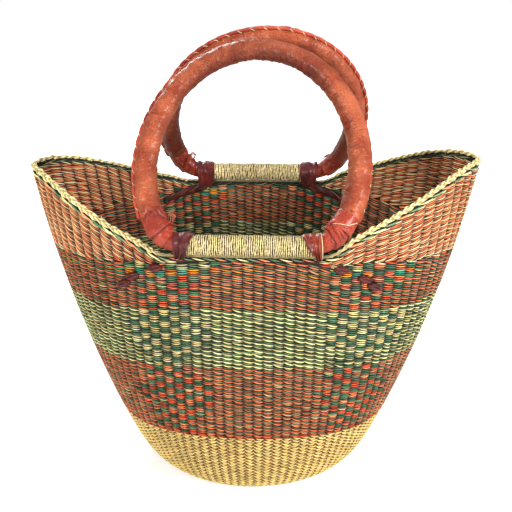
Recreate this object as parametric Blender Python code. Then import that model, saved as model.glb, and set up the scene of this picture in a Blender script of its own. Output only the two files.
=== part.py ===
# Bolga market basket: a twined straw bowl with two ears and two leather-covered hoop handles.
# The front faces -Y, the ears stand at -X and +X, and the flat base rests on Z = 0.
import bpy
import bmesh
import numpy as np
from math import asin, cos, radians, sin, sqrt

# Sizes of the woven bowl, in metres. A stake length is measured from the base centre up the outside.
SIDE_BASE_RADIUS = 0.1034
FACE_BASE_RADIUS = 0.0975
WALL_THICKNESS = 0.006
SIDE_FOOT_LENGTH = 0.0145
FACE_FOOT_LENGTH = 0.0100
LOWER_BAND_STAKE = 0.1837
MIDDLE_BAND_STAKE = 0.2678
UPPER_BAND_STAKE = 0.3299
BAR_RIM_STAKE = 0.3825
RIGHT_EAR_STAKE = 0.4888
LEFT_EAR_STAKE = 0.4788
EAR_TIP_DROP = 0.0146
RIM_LEVEL_HALF = 0.070
RIM_CLIMB_LENGTH = 0.030

# Angles of the bowl wall from the ground, at the ears and at the two broad faces.
SIDE_SLOPE_DEG = 62.5
FACE_SLOPE_DEG = 70.0
SIDE_TURN_DEG = 12.3
FACE_TURN_DEG = 31.0

# Shares that shape the plan and the ears.
EAR_START_SHARE = 0.2268
RIGHT_EAR_POWER = 1.298
LEFT_EAR_POWER = 1.573
FACE_FLAT_SHARE = 0.2103
EAR_PINCH_SHARE = 0.4546
PRESS_START_SHARE = 0.78
STRAIGHT_FULL_SHARE = 0.34
STRAIGHT_END_SHARE = 0.55
STAKE_SPARE_SHARE = 1.15
COLUMN_DEG = (0, 7, 13, 17, 20, 23, 26, 30, 35, 41.5, 49, 57.5, 66, 74.5, 82.5)

# Clearance between pieces that touch, and the step used to find a surface direction.
GAP = 0.0003
INNER_GAP = 0.0006
RIM_GAP = 0.0006
PROBE_LENGTH = 0.0004

# Sizes of the rim.
BORDER_HEIGHT = 0.007
BORDER_PRESSED_HEIGHT = 0.0022
BORDER_PROUD = 0.0015
BORDER_CHAMFER_SHARE = 0.3
TWINE_HEIGHT = 0.0022
TWINE_PRESSED_HEIGHT = 0.0010
TWINE_PROUD = 0.0004
WING_TIP_HEIGHT = 0.0005
WING_LEAST_RISE = 0.0014

# Sizes of one hoop handle.
BAR_HALF = 0.058
CORNER_RADIUS = 0.035
CORNER_TURN_DEG = 64.0
HOOP_HALF_WIDTH = 0.1032
HOOP_HEIGHT = 0.2025
CORE_RADIUS = 0.0076
SLEEVE_RADIUS = 0.0105
WELT_HEIGHT = 0.0035
WELT_WIDTH = 0.0024
WRAP_THICKNESS = 0.0015
SLEEVE_START_DEG = 40.0
WRAP_START_DEG = 46.0
WRAP_END_DEG = 68.0
HOOP_SIDES = 10
FRONT_TOP_FROM_MIDDLE = 0.0085
REAR_TOP_FROM_MIDDLE = 0.0218
FRONT_SKEW = 0.035
REAR_SKEW = 0.08

# Sizes of the straw winding on a bar.
WINDING_HALF = 0.0493
WINDING_LOOPS = 24
LOOP_POINTS = 8
STRAND_WIDTH = 0.0035
STRAND_THICKNESS = 0.0014
STRAND_END_DEG = 40.0

# Sizes of the leather cuffs that hold a bar on the rim.
CUFF_START = 0.0498
CUFF_END = 0.0700
CUFF_THICKNESS = 0.0020
CUFF_TIP_THICKNESS = 0.0010
CUFF_OPEN_DEG = -12.0
CUFF_ARCH_STEPS = 7
CUFF_SLICES = 4
OUTER_LEG_DROP = 0.0085
INNER_LEG_DROP = 0.0105
LEG_TOP_DROP = 0.0005

# Sizes of the thong stitches outside and the straps inside, at each cuff.
STITCH_LENGTH = 0.014
STITCH_HEIGHT = 0.008
STITCH_DEPTH = 0.0045
STITCH_GAP = 0.0004
STITCH_SIDES = 10
STITCH_1_OUT = 0.0888
STITCH_1_DROP = 0.0085
STITCH_2_OUT = 0.1125
STITCH_2_DROP = 0.0190
STITCH_3_OUT = 0.1218
STITCH_3_DROP = 0.0272
STRAP_START = 0.0715
STRAP_START_DROP = 0.0085
STRAP_END = 0.1110
STRAP_END_DROP = 0.0190
STRAP_WIDTH = 0.008
STRAP_THICKNESS = 0.0022
STRAP_SLICES = 6

# Clear the scene before modelling.
for old in list(bpy.data.objects):
    bpy.data.objects.remove(old, do_unlink=True)


def principled(name, hex_colour, roughness):
    channels = [int(hex_colour[i:i + 2], 16) / 255 for i in (0, 2, 4)]
    linear = [c / 12.92 if c <= 0.04045 else ((c + 0.055) / 1.055) ** 2.4 for c in channels]
    material = bpy.data.materials.new(name)
    material.use_nodes = True
    shader = material.node_tree.nodes["Principled BSDF"]
    shader.inputs["Base Color"].default_value = (*linear, 1)
    shader.inputs["Roughness"].default_value = roughness
    shader.inputs["Metallic"].default_value = 0
    material.diffuse_color = (*linear, 1)
    return material


natural_straw = principled("natural_straw", "DDBB68", 0.7)
red_green_straw = principled("red_green_straw", "C2502F", 0.7)
green_natural_straw = principled("green_natural_straw", "7E8E5E", 0.7)
red_teal_straw = principled("red_teal_straw", "C8563A", 0.7)
orange_cream_straw = principled("orange_cream_straw", "E0703F", 0.7)
green_twine_straw = principled("green_twine_straw", "8A9A6A", 0.7)
cream_border_straw = principled("cream_border_straw", "EBDA98", 0.65)
cane = principled("cane", "C9A56A", 0.6)
binding_straw = principled("binding_straw", "D8C184", 0.6)
coral_leather = principled("coral_leather", "DD6540", 0.38)
red_welt_leather = principled("red_welt_leather", "C95442", 0.42)
wrap_leather = principled("wrap_leather", "C0483A", 0.4)
maroon_leather = principled("maroon_leather", "842A2A", 0.42)
stitch_leather = principled("stitch_leather", "7A2C26", 0.45)


def smoothstep(value, start, length):
    t = np.clip((value - start) / length, 0, 1)
    return t * t * (3 - 2 * t)


def mesh_object(name, points, faces, material, parent=None, smooth_deg=40):
    mesh = bpy.data.meshes.new(name)
    mesh.from_pydata([tuple(map(float, p)) for p in points], [], faces)
    shape = bmesh.new()
    shape.from_mesh(mesh)
    bmesh.ops.recalc_face_normals(shape, faces=shape.faces)
    shape.to_mesh(mesh)
    shape.free()
    mesh.shade_smooth()
    mesh.set_sharp_from_angle(angle=radians(smooth_deg))
    mesh.materials.append(material)
    obj = bpy.data.objects.new(name, mesh)
    bpy.context.scene.collection.objects.link(obj)
    obj.parent = parent
    return obj


# A stake leaves the flat base, turns up over the foot, and keeps turning a little up to the rim.
longest_stake = max(LEFT_EAR_STAKE, RIGHT_EAR_STAKE)
table_stakes = np.linspace(0, longest_stake * STAKE_SPARE_SHARE, 400)


def stake_profile(base_radius, slope_deg, foot_length, turn_deg):
    beyond = np.maximum(table_stakes - base_radius, 0)
    turn = turn_deg * beyond / (BAR_RIM_STAKE - base_radius)
    angle = np.radians(slope_deg * (1 - np.exp(-beyond / foot_length)) + turn)
    step = table_stakes[1] - table_stakes[0]
    across = (np.cos(angle[1:]) + np.cos(angle[:-1])) / 2 * step
    upward = (np.sin(angle[1:]) + np.sin(angle[:-1])) / 2 * step
    return np.append(0, np.cumsum(across)), np.append(0, np.cumsum(upward))


side_out, side_up = stake_profile(SIDE_BASE_RADIUS, SIDE_SLOPE_DEG, SIDE_FOOT_LENGTH, SIDE_TURN_DEG)
face_out, face_up = stake_profile(FACE_BASE_RADIUS, FACE_SLOPE_DEG, FACE_FOOT_LENGTH, FACE_TURN_DEG)
rim_half_length = float(np.interp(BAR_RIM_STAKE, table_stakes, side_out))
bar_rim_out = float(np.interp(BAR_RIM_STAKE, table_stakes, face_out))
bar_rim_top = float(np.interp(BAR_RIM_STAKE, table_stakes, face_up))


def outer_points(angles, stakes):
    # The broad faces are flattened, pressed straight under the bars, and pinched in at the ears.
    c = np.cos(angles)
    n = np.sin(angles)
    share = np.clip(stakes / BAR_RIM_STAKE, 0, 1.25)
    plan = share ** 2 * (FACE_FLAT_SHARE * c ** 2 - EAR_PINCH_SHARE * c ** 6)
    straight = 1 / np.maximum(np.abs(n), 0.5) - 1 - FACE_FLAT_SHARE * c ** 2
    fade = 1 - smoothstep(np.abs(c), STRAIGHT_FULL_SHARE, STRAIGHT_END_SHARE - STRAIGHT_FULL_SHARE)
    press = smoothstep(share, PRESS_START_SHARE, 1 - PRESS_START_SHARE)
    x = np.interp(stakes, table_stakes, side_out) * c
    y = np.interp(stakes, table_stakes, face_out) * n * (1 + plan + straight * fade * press)
    low = np.interp(stakes, table_stakes, face_up)
    high = np.interp(stakes, table_stakes, side_up)
    return np.stack([x, y, low + (high - low) * c * c], axis=-1)


def wall_points(angles, stakes, depths):
    # A depth is measured inward, square to the outer surface.
    angles, stakes, depths = np.broadcast_arrays(angles, stakes, depths)
    turn = 0.003
    around = outer_points(angles + turn, stakes) - outer_points(angles - turn, stakes)
    along = outer_points(angles, stakes + PROBE_LENGTH) - outer_points(angles, stakes - PROBE_LENGTH)
    out = np.cross(around, along)
    out /= np.linalg.norm(out, axis=-1, keepdims=True)
    return outer_points(angles, stakes) - out * depths[..., None]


def rim_lift(angles):
    # Under the bars the rim lies level; beyond them it climbs to the ears.
    c = np.cos(angles)
    share = np.clip((np.abs(c) - EAR_START_SHARE) / (1 - EAR_START_SHARE), 0, 1)
    right = (RIGHT_EAR_STAKE - BAR_RIM_STAKE) * share ** RIGHT_EAR_POWER
    left = (LEFT_EAR_STAKE - BAR_RIM_STAKE) * share ** LEFT_EAR_POWER
    climb = np.where(c > 0, right, left) - EAR_TIP_DROP * share ** 10
    level = bar_rim_top - outer_points(angles, BAR_RIM_STAKE + 0 * angles)[..., 2]
    level = bar_rim_top - outer_points(angles, BAR_RIM_STAKE + level)[..., 2] + level
    mix = smoothstep(np.abs(c) * rim_half_length, RIM_LEVEL_HALF, RIM_CLIMB_LENGTH)
    return level * (1 - mix) + climb * mix


def swell(angles, pressed_height, full_height):
    # The rim is pressed thin under the bars and swells to its full height where it climbs.
    mix = smoothstep(np.abs(np.cos(angles)) * rim_half_length, CUFF_END, RIM_CLIMB_LENGTH)
    return pressed_height + (full_height - pressed_height) * mix


# Columns stand closest where the rim starts to climb beside the bars.
quarter = [90 - d for d in COLUMN_DEG]
half = quarter + [0] + [-d for d in reversed(quarter[1:])]
columns = np.radians(np.array(half + [d - 180 for d in half]))
count = len(columns)
rim_top = BAR_RIM_STAKE + rim_lift(columns)
border_low = rim_top - swell(columns, BORDER_PRESSED_HEIGHT, BORDER_HEIGHT)
twine_top = border_low - RIM_GAP
twine_low = twine_top - swell(columns, TWINE_PRESSED_HEIGHT, TWINE_HEIGHT)
cloth_top = twine_low - RIM_GAP
band_top = BAR_RIM_STAKE - BORDER_PRESSED_HEIGHT - TWINE_PRESSED_HEIGHT - 2 * RIM_GAP


def strip_faces(first, second, loop):
    steps = len(first) if loop else len(first) - 1
    return [(first[i], first[(i + 1) % len(first)], second[(i + 1) % len(first)], second[i])
            for i in range(steps)]


def wall_band(name, material, lower, upper, rows, picked=None):
    # A shell between two stake lengths, all round or over the picked columns.
    loop = picked is None
    picked = np.arange(count) if loop else np.array(picked)
    points = []
    rings = []
    for depth in (0.0, WALL_THICKNESS):
        for row in range(rows + 1):
            stakes = lower[picked] + (upper[picked] - lower[picked]) * row / rows
            rings.append(list(range(len(points), len(points) + len(picked))))
            points.extend(wall_points(columns[picked], stakes, depth))
    order = list(range(rows + 1)) + list(range(2 * rows + 1, rows, -1))
    faces = []
    for i, ring in enumerate(order):
        faces += strip_faces(rings[ring], rings[order[(i + 1) % len(order)]], loop)
    if not loop:
        faces.append(tuple(rings[ring][0] for ring in order))
        faces.append(tuple(rings[ring][-1] for ring in order))
    return mesh_object(name, points, faces, material)


def base_bowl(name, material, stakes):
    points = [(0, 0, 0), (0, 0, WALL_THICKNESS)]
    rings = []
    for depth in (0.0, WALL_THICKNESS):
        for stake in stakes:
            rings.append(list(range(len(points), len(points) + count)))
            ring = wall_points(columns, stake + 0 * columns, depth)
            if stake <= FACE_BASE_RADIUS:
                ring[:, 2] = depth
            points.extend(ring)
    rows = len(stakes)
    order = list(range(rows)) + list(range(2 * rows - 1, rows - 1, -1))
    faces = []
    for i in range(len(order) - 1):
        faces += strip_faces(rings[order[i]], rings[order[i + 1]], True)
    for pole, ring in ((0, rings[0]), (1, rings[rows])):
        faces += [(pole, ring[i], ring[(i + 1) % count]) for i in range(count)]
    return mesh_object(name, points, faces, material)


def rim_ring(name, material, corners):
    # A closed ring swept round the rim: each corner is a stake length and a depth.
    points = []
    rings = []
    for stakes, depth in corners:
        rings.append(list(range(len(points), len(points) + count)))
        points.extend(wall_points(columns, stakes, depth))
    faces = []
    for i, ring in enumerate(rings):
        faces += strip_faces(ring, rings[(i + 1) % len(rings)], True)
    return mesh_object(name, points, faces, material)


# The woven bowl: a natural base and three bands, each one closed shell.
foot_shares = (0.35, 0.7, 1.2, 2.0, 3.3)
base_stakes = [FACE_BASE_RADIUS]
base_stakes += [FACE_BASE_RADIUS + SIDE_FOOT_LENGTH * share for share in foot_shares]
base_stakes.append(LOWER_BAND_STAKE - GAP)
base_bowl("base_weave", natural_straw, base_stakes)
everywhere = np.ones(count)
wall_band("lower_band", red_green_straw, LOWER_BAND_STAKE * everywhere,
          (MIDDLE_BAND_STAKE - GAP) * everywhere, 2)
wall_band("middle_band", green_natural_straw, MIDDLE_BAND_STAKE * everywhere,
          (UPPER_BAND_STAKE - GAP) * everywhere, 2)

# The upper band ends in a straight row. The ears rise above it as two crescent wings.
ear = cloth_top - band_top > WING_LEAST_RISE
upper_edge = np.minimum(cloth_top, np.where(ear, band_top, cloth_top))
wing_low = band_top + GAP + 0 * columns
wings = {}
for side, direction in (("right", 1), ("left", -1)):
    full = [i for i in range(count) if ear[i] and np.cos(columns[i]) * direction > 0]
    full.sort(key=lambda i: np.sin(columns[i]))
    ends = []
    for i in (full[0], full[-1]):
        near = [(i - 1) % count, (i + 1) % count]
        ends.append([j for j in near if not ear[j]][0])
    for j in ends:
        wing_low[j] = cloth_top[j] - WING_TIP_HEIGHT
        upper_edge[j] = wing_low[j] - GAP
    wings[side] = [ends[0]] + full + [ends[1]]
wall_band("upper_band", red_teal_straw, UPPER_BAND_STAKE * everywhere, upper_edge, 2)
wall_band("left_wing", orange_cream_straw, wing_low, cloth_top, 2, wings["left"])
wall_band("right_wing", orange_cream_straw, wing_low, cloth_top, 2, wings["right"])

# A green twined row and a plaited roll finish the rim.
twine_in = WALL_THICKNESS + TWINE_PROUD
rim_ring("rim_twine", green_twine_straw, (
    (twine_low, -TWINE_PROUD), (twine_top, -TWINE_PROUD), (twine_top, twine_in), (twine_low, twine_in)))
height = rim_top - border_low
chamfer = height * BORDER_CHAMFER_SHARE
border_out = -BORDER_PROUD
border_in = WALL_THICKNESS + BORDER_PROUD
outer_shoulder = border_out + BORDER_CHAMFER_SHARE * WALL_THICKNESS
inner_shoulder = border_in - BORDER_CHAMFER_SHARE * WALL_THICKNESS
rim_ring("rim_border", cream_border_straw, (
    (border_low, outer_shoulder), (border_low + chamfer, border_out),
    (rim_top - chamfer, border_out), (rim_top, outer_shoulder),
    (rim_top, inner_shoulder), (rim_top - chamfer, border_in),
    (border_low + chamfer, border_in), (border_low, inner_shoulder)))


# One hoop, in its own frame: the bar lies along X and the hoop stands in the XZ plane.
corner_turn = radians(CORNER_TURN_DEG)
corner_end_x = BAR_HALF + CORNER_RADIUS * sin(corner_turn)
corner_end_z = CORNER_RADIUS * (1 - cos(corner_turn))
side_radius = (HOOP_HALF_WIDTH - corner_end_x) / (1 - sin(corner_turn))
widest_z = corner_end_z + side_radius * cos(corner_turn)


def hoop_point(turn_deg):
    # The turn runs from 0 at the end of the bar to 90 at the widest point and 180 at the top.
    turn = radians(turn_deg)
    if turn_deg <= CORNER_TURN_DEG:
        return BAR_HALF + CORNER_RADIUS * sin(turn), CORNER_RADIUS * (1 - cos(turn))
    if turn_deg <= 90:
        across = side_radius * (sin(turn) - sin(corner_turn))
        upward = side_radius * (cos(corner_turn) - cos(turn))
        return corner_end_x + across, corner_end_z + upward
    arc = turn - radians(90)
    return HOOP_HALF_WIDTH * cos(arc), widest_z + (HOOP_HEIGHT - widest_z) * sin(arc)


def hoop_path(turns, skew):
    # The turns run up the +X side, and the same turns come down the -X side.
    right = [hoop_point(t) for t in turns]
    left = [(-x, z) for x, z in reversed(right) if abs(x) > GAP]
    return np.array([(x + skew * z, 0, z) for x, z in right + left])


def hoop_frames(path, loop):
    after = np.roll(path, -1, axis=0)
    before = np.roll(path, 1, axis=0)
    if not loop:
        after[-1] = path[-1]
        before[0] = path[0]
    tangent = after - before
    tangent /= np.linalg.norm(tangent, axis=1, keepdims=True)
    return np.stack([tangent[:, 2], 0 * tangent[:, 0], -tangent[:, 0]], axis=1)


def swept(name, material, path, loop, profiles, parent):
    # Each profile is a closed outline of (away from the hoop's centre, along Y) offsets.
    away = hoop_frames(path, loop)
    across = np.array([0.0, 1.0, 0.0])
    points = []
    sections = []
    for centre, out in zip(path, away):
        section = []
        for profile in profiles:
            section.append(list(range(len(points), len(points) + len(profile))))
            points.extend(centre + out * a + across * b for a, b in profile)
        sections.append(section)
    faces = []
    steps = len(sections) if loop else len(sections) - 1
    for i in range(steps):
        for first, second in zip(sections[i], sections[(i + 1) % len(sections)]):
            faces += strip_faces(first, second, True)
    if not loop:
        for section in (sections[0], sections[-1]):
            if len(profiles) == 1:
                faces.append(tuple(section[0]))
            else:
                faces += strip_faces(section[0], section[1], True)
    return mesh_object(name, points, faces, material, parent)


def circle(radius, sides=HOOP_SIDES):
    return [(radius * cos(radians(360 * i / sides)), radius * sin(radians(360 * i / sides)))
            for i in range(sides)]


def winding(name, material, parent):
    # One flat strand wound round the bar in even loops, with straight ends.
    flat = cos(radians(180 / LOOP_POINTS))
    wound_radius = (CORE_RADIUS + GAP) / flat + STRAND_THICKNESS / 2
    steps = WINDING_LOOPS * LOOP_POINTS
    reach = WINDING_HALF - STRAND_WIDTH / 2
    pitch = 2 * reach / WINDING_LOOPS
    outline = ((STRAND_WIDTH / 2, 0), (STRAND_WIDTH / 4, STRAND_THICKNESS / 2),
               (-STRAND_WIDTH / 4, STRAND_THICKNESS / 2), (-STRAND_WIDTH / 2, 0),
               (-STRAND_WIDTH / 4, -STRAND_THICKNESS / 2), (STRAND_WIDTH / 4, -STRAND_THICKNESS / 2))
    sections = []
    for i in range(steps + 1):
        angle = radians(90 - STRAND_END_DEG + 360 * i / LOOP_POINTS)
        outward = np.array([0, cos(angle), sin(angle)])
        run = np.array([pitch, -2 * np.pi * wound_radius * sin(angle), 2 * np.pi * wound_radius * cos(angle)])
        run /= np.linalg.norm(run)
        centre = outward * wound_radius + np.array([-reach + pitch * i / LOOP_POINTS, 0, 0])
        along = np.array([1.0, 0, 0])
        section = [centre + along * a + outward * b for a, b in outline]
        if i == 0:
            sections.append([p - run * STRAND_WIDTH for p in section])
        sections.append(section)
        if i == steps:
            sections.append([p + run * STRAND_WIDTH for p in section])
    cloud = np.array(sections)
    gaps = []
    for i in range(len(cloud)):
        later = cloud[i + LOOP_POINTS // 2 + 1:i + LOOP_POINTS + 4].reshape(-1, 3)
        if len(later):
            gaps.append(np.linalg.norm(cloud[i][:, None] - later[None], axis=2).min())
    print(name, "least gap to itself", round(1000 * min(gaps), 3), "mm")
    sides = len(outline)
    points = cloud.reshape(-1, 3)
    faces = []
    for i in range(len(sections) - 1):
        faces += strip_faces(list(range(i * sides, (i + 1) * sides)),
                             list(range((i + 1) * sides, (i + 2) * sides)), True)
    faces.append(tuple(range(sides)))
    faces.append(tuple(range((len(sections) - 1) * sides, len(sections) * sides)))
    return mesh_object(name, points, faces, material, parent)


# The bars lie on the pressed border, over the middle of the wall.
wound_top = (CORE_RADIUS + GAP) / cos(radians(180 / LOOP_POINTS)) + STRAND_THICKNESS
bar_z = bar_rim_top + wound_top + GAP
bar_y = bar_rim_out - WALL_THICKNESS / 2
upper_turns = [90 + 11.25 * i for i in range(1, 9)]
sleeve_turns = [SLEEVE_START_DEG, WRAP_START_DEG, 55.0, CORNER_TURN_DEG, WRAP_END_DEG, 79.0, 90.0]
core_turns = [0.0, 13.0, 27.0] + sleeve_turns + upper_turns
wrap_turns = [t for t in sleeve_turns if WRAP_START_DEG <= t <= WRAP_END_DEG]
welt_turns = [WRAP_END_DEG + 0.6] + [t for t in sleeve_turns if t > WRAP_END_DEG] + upper_turns


def handle(front_or_rear, facing, top_from_middle, skew):
    # Facing is 0 for the front hoop and 180 for the rear one, so its own +Y points into the basket.
    # Each hoop leans in until its top is this far from the middle, so that the two never meet.
    lean = asin((bar_y - top_from_middle) / HOOP_HEIGHT)
    hinge = bpy.data.objects.new(front_or_rear + "_handle_hinge", None)
    bpy.context.scene.collection.objects.link(hinge)
    hinge.location = (0, -bar_y if facing == 0 else bar_y, bar_z)
    hinge.rotation_euler = (-lean, 0, radians(facing))
    name = front_or_rear + "_handle_"
    swept(name + "core", cane, hoop_path(core_turns, skew), True, [circle(CORE_RADIUS)], hinge)
    sleeve = [circle(SLEEVE_RADIUS), circle(CORE_RADIUS + GAP)]
    swept(name + "sleeve", coral_leather, hoop_path(sleeve_turns + upper_turns, skew), False, sleeve, hinge)
    low = SLEEVE_RADIUS + GAP
    high = low + WELT_HEIGHT
    edge = WELT_WIDTH / 2
    welt = [[(low, -edge), (high, -edge), (high, edge), (low, edge)]]
    swept(name + "welt", red_welt_leather, hoop_path(welt_turns, skew), False, welt, hinge)
    wrap_radius = SLEEVE_RADIUS + GAP
    wrap = [circle(wrap_radius + WRAP_THICKNESS), circle(wrap_radius)]
    for side, sign in (("right", 1), ("left", -1)):
        local = sign if facing == 0 else -sign
        path = np.array([(local * x + skew * z, 0, z) for x, z in map(hoop_point, wrap_turns)])
        if local < 0:
            path = path[::-1].copy()
        swept(f"{front_or_rear}_{side}_wrap", wrap_leather, path, False, wrap, hinge)
    winding(front_or_rear + "_binding", binding_straw, hinge)


handle("front", 0, FRONT_TOP_FROM_MIDDLE, FRONT_SKEW)
handle("rear", 180, REAR_TOP_FROM_MIDDLE, -REAR_SKEW)


def wall_at(x, stake, depth):
    # The point of the +X, +Y quarter of the wall at this X.
    angle = np.arccos(np.clip(x / np.interp(stake, table_stakes, side_out), -1, 1))
    return wall_points(np.array([angle]), np.array([stake]), np.array([depth]))[0]


def cuff(name, side, face):
    # A saddle of leather over the bar: a flared arch, and a leg down each side of the rim.
    arch_deg = 180 - 2 * CUFF_OPEN_DEG
    fit = cos(radians(arch_deg / CUFF_ARCH_STEPS / 2))
    sections = []
    for i in range(CUFF_SLICES + 1):
        x = CUFF_START + (CUFF_END - CUFF_START) * i / CUFF_SLICES
        beyond = max(x - BAR_HALF, 0)
        climb = CORNER_RADIUS - sqrt(CORNER_RADIUS ** 2 - beyond ** 2)
        slope = sqrt(1 - (beyond / CORNER_RADIUS) ** 2)
        clear = (climb + CORE_RADIUS / slope + GAP) / fit
        outline = []
        for leg, shell in (("inside", 0.0), ("outside", 1.0)):
            thick = CUFF_THICKNESS * shell
            tip = CUFF_TIP_THICKNESS * shell
            rim_out = border_out - GAP - thick
            rim_in = border_in + GAP + thick
            tip_out = -TWINE_PROUD - GAP - tip
            tip_in = WALL_THICKNESS + TWINE_PROUD + GAP + tip
            top = BAR_RIM_STAKE - LEG_TOP_DROP
            low = BAR_RIM_STAKE - BORDER_PRESSED_HEIGHT - GAP
            path = [wall_at(x, BAR_RIM_STAKE - OUTER_LEG_DROP, tip_out),
                    wall_at(x, low, rim_out), wall_at(x, top, rim_out)]
            for k in range(CUFF_ARCH_STEPS + 1):
                angle = radians(CUFF_OPEN_DEG + arch_deg * k / CUFF_ARCH_STEPS)
                radius = clear + thick
                path.append(np.array([x, bar_y + radius * cos(angle), bar_z + radius * sin(angle)]))
            path += [wall_at(x, top, rim_in), wall_at(x, low, rim_in),
                     wall_at(x, BAR_RIM_STAKE - INNER_LEG_DROP, tip_in)]
            outline += path if shell == 0 else path[::-1]
        for p in outline:
            p[0] = x
        sections.append(outline)
    points = [p * np.array([side, face, 1]) for section in sections for p in section]
    size = len(sections[0])
    faces = []
    for i in range(CUFF_SLICES):
        faces += strip_faces(list(range(i * size, (i + 1) * size)),
                             list(range((i + 1) * size, (i + 2) * size)), True)
    turns = size // 2
    for start in (0, CUFF_SLICES * size):
        faces += [(start + k, start + k + 1, start + size - 2 - k, start + size - 1 - k)
                  for k in range(turns - 1)]
    return mesh_object(name, points, faces, maroon_leather)


def stitch(name, out, drop, side, face):
    # A low bean of thong that follows the outside of the wall.
    stake = BAR_RIM_STAKE - drop
    points = []
    for height, share in ((STITCH_GAP, 0.9), (STITCH_DEPTH * 0.5, 1.0), (STITCH_DEPTH, 0.6)):
        for k in range(STITCH_SIDES):
            angle = radians(360 * k / STITCH_SIDES)
            across = out + STITCH_LENGTH / 2 * share * cos(angle)
            upward = stake + STITCH_HEIGHT / 2 * share * sin(angle)
            points.append(wall_at(across, upward, -height) * np.array([side, face, 1]))
    rings = [list(range(i * STITCH_SIDES, (i + 1) * STITCH_SIDES)) for i in range(3)]
    faces = [tuple(rings[0]), tuple(rings[2])]
    faces += strip_faces(rings[0], rings[1], True) + strip_faces(rings[1], rings[2], True)
    return mesh_object(name, points, faces, stitch_leather)


def strap(name, side, face):
    # A thong lying on the inside of the wall, from under the cuff down to the last stitch.
    near = WALL_THICKNESS + INNER_GAP
    far = near + STRAP_THICKNESS
    points = []
    for i in range(STRAP_SLICES + 1):
        share = i / STRAP_SLICES
        x = STRAP_START + (STRAP_END - STRAP_START) * share
        drop = STRAP_START_DROP + (STRAP_END_DROP - STRAP_START_DROP) * share
        edge = STRAP_WIDTH / 2 * (1 if 0 < i < STRAP_SLICES else 0.7)
        for offset, depth in ((-edge, near), (edge, near), (edge, far), (-edge, far)):
            points.append(wall_at(x, BAR_RIM_STAKE - drop + offset, depth) * np.array([side, face, 1]))
    faces = [(0, 1, 2, 3), tuple(range(4 * STRAP_SLICES, 4 * STRAP_SLICES + 4))]
    for i in range(STRAP_SLICES):
        faces += strip_faces(list(range(4 * i, 4 * i + 4)), list(range(4 * i + 4, 4 * i + 8)), True)
    return mesh_object(name, points, faces, stitch_leather)


# Each bar end has its cuff, its inside strap and three outside stitches.
for face_name, face in (("front", -1), ("rear", 1)):
    for side_name, side in (("left", -1), ("right", 1)):
        corner = f"{face_name}_{side_name}_"
        cuff(corner + "cuff", side, face)
        strap(corner + "strap", side, face)
        stitch(corner + "stitch_1", STITCH_1_OUT, STITCH_1_DROP, side, face)
        stitch(corner + "stitch_2", STITCH_2_OUT, STITCH_2_DROP, side, face)
        stitch(corner + "stitch_3", STITCH_3_OUT, STITCH_3_DROP, side, face)

bpy.context.view_layer.update()
print("bar axis", round(1000 * bar_y, 3), round(1000 * bar_z, 3), "mm from the middle and the ground")
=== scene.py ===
# Looks of a bolga basket: a twined straw wall, a plaited rim and two leather-covered hoops.
# Lengths are metres, +Z is up and the front faces -Y.
# A stake length runs from the base centre up the outside.
from math import asin, cos, pi, radians, sin

import bpy
import numpy as np
from mathutils import Matrix, Vector


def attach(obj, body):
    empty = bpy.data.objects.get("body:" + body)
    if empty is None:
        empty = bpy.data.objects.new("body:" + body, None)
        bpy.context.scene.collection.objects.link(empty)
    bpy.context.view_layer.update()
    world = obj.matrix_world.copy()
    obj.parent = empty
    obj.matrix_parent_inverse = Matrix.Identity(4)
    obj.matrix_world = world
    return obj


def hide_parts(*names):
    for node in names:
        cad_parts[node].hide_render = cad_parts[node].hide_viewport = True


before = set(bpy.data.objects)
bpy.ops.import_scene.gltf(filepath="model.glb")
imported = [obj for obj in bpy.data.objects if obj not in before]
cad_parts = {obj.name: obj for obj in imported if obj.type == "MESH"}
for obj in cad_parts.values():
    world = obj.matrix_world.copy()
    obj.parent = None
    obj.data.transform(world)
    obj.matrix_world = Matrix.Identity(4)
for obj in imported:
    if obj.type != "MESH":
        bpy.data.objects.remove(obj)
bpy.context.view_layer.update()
chance = np.random.default_rng(7)
print("frame loaded")


# Colours, as sRGB hex.
dyes = {
    "red": "E8552F",
    "coral": "F58A5A",
    "brick": "EE6E42",
    "green": "4A7350",
    "moss": "56784F",
    "olive": "667A55",
    "natural": "F0DC94",
    "gold": "EED28E",
    "teal": "1E9A77",
    "orange": "FB8420",
    "cream": "F2E3A4",
    "base": "EAC878",
    "greyGreen": "66805F",
    # The shade colours below are painted shade, for the gaps behind the stitches, the backings, the inside
    # twine and the winding bed.
    "shade": "140D07",
    "greenShade": "12160A",
    "redShade": "3A150B",
    "baseShade": "74491A",
}


def linear(hexColour):
    channels = [int(hexColour[i:i + 2], 16) / 255 for i in (0, 2, 4)]
    return [c / 12.92 if c <= 0.04045 else ((c + 0.055) / 1.055) ** 2.4 for c in channels]


def smooth(value, start, length):
    t = np.clip((value - start) / length, 0, 1)
    return t * t * (3 - 2 * t)


def unit(vectors):
    return vectors / np.maximum(np.linalg.norm(vectors, axis=-1, keepdims=True), 1e-12)


def lattice(ix, iy, iz, seed):
    value = np.sin(ix * 127.1 + iy * 311.7 + iz * 74.7 + seed * 53.3) * 43758.5453
    return value - np.floor(value)


def noise(points, scale, seed):
    # Smooth value noise from 0 to 1 at points given in metres.
    p = np.asarray(points, float) / scale + 1000.0
    cell = np.floor(p)
    f = p - cell
    f = f * f * (3 - 2 * f)
    total = 0
    for corner in np.ndindex(2, 2, 2):
        weight = 1
        for axis, step in enumerate(corner):
            weight = weight * (f[..., axis] if step else 1 - f[..., axis])
        x, y, z = (cell[..., axis] + step for axis, step in enumerate(corner))
        total = total + weight * lattice(x, y, z, seed)
    return total


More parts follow.
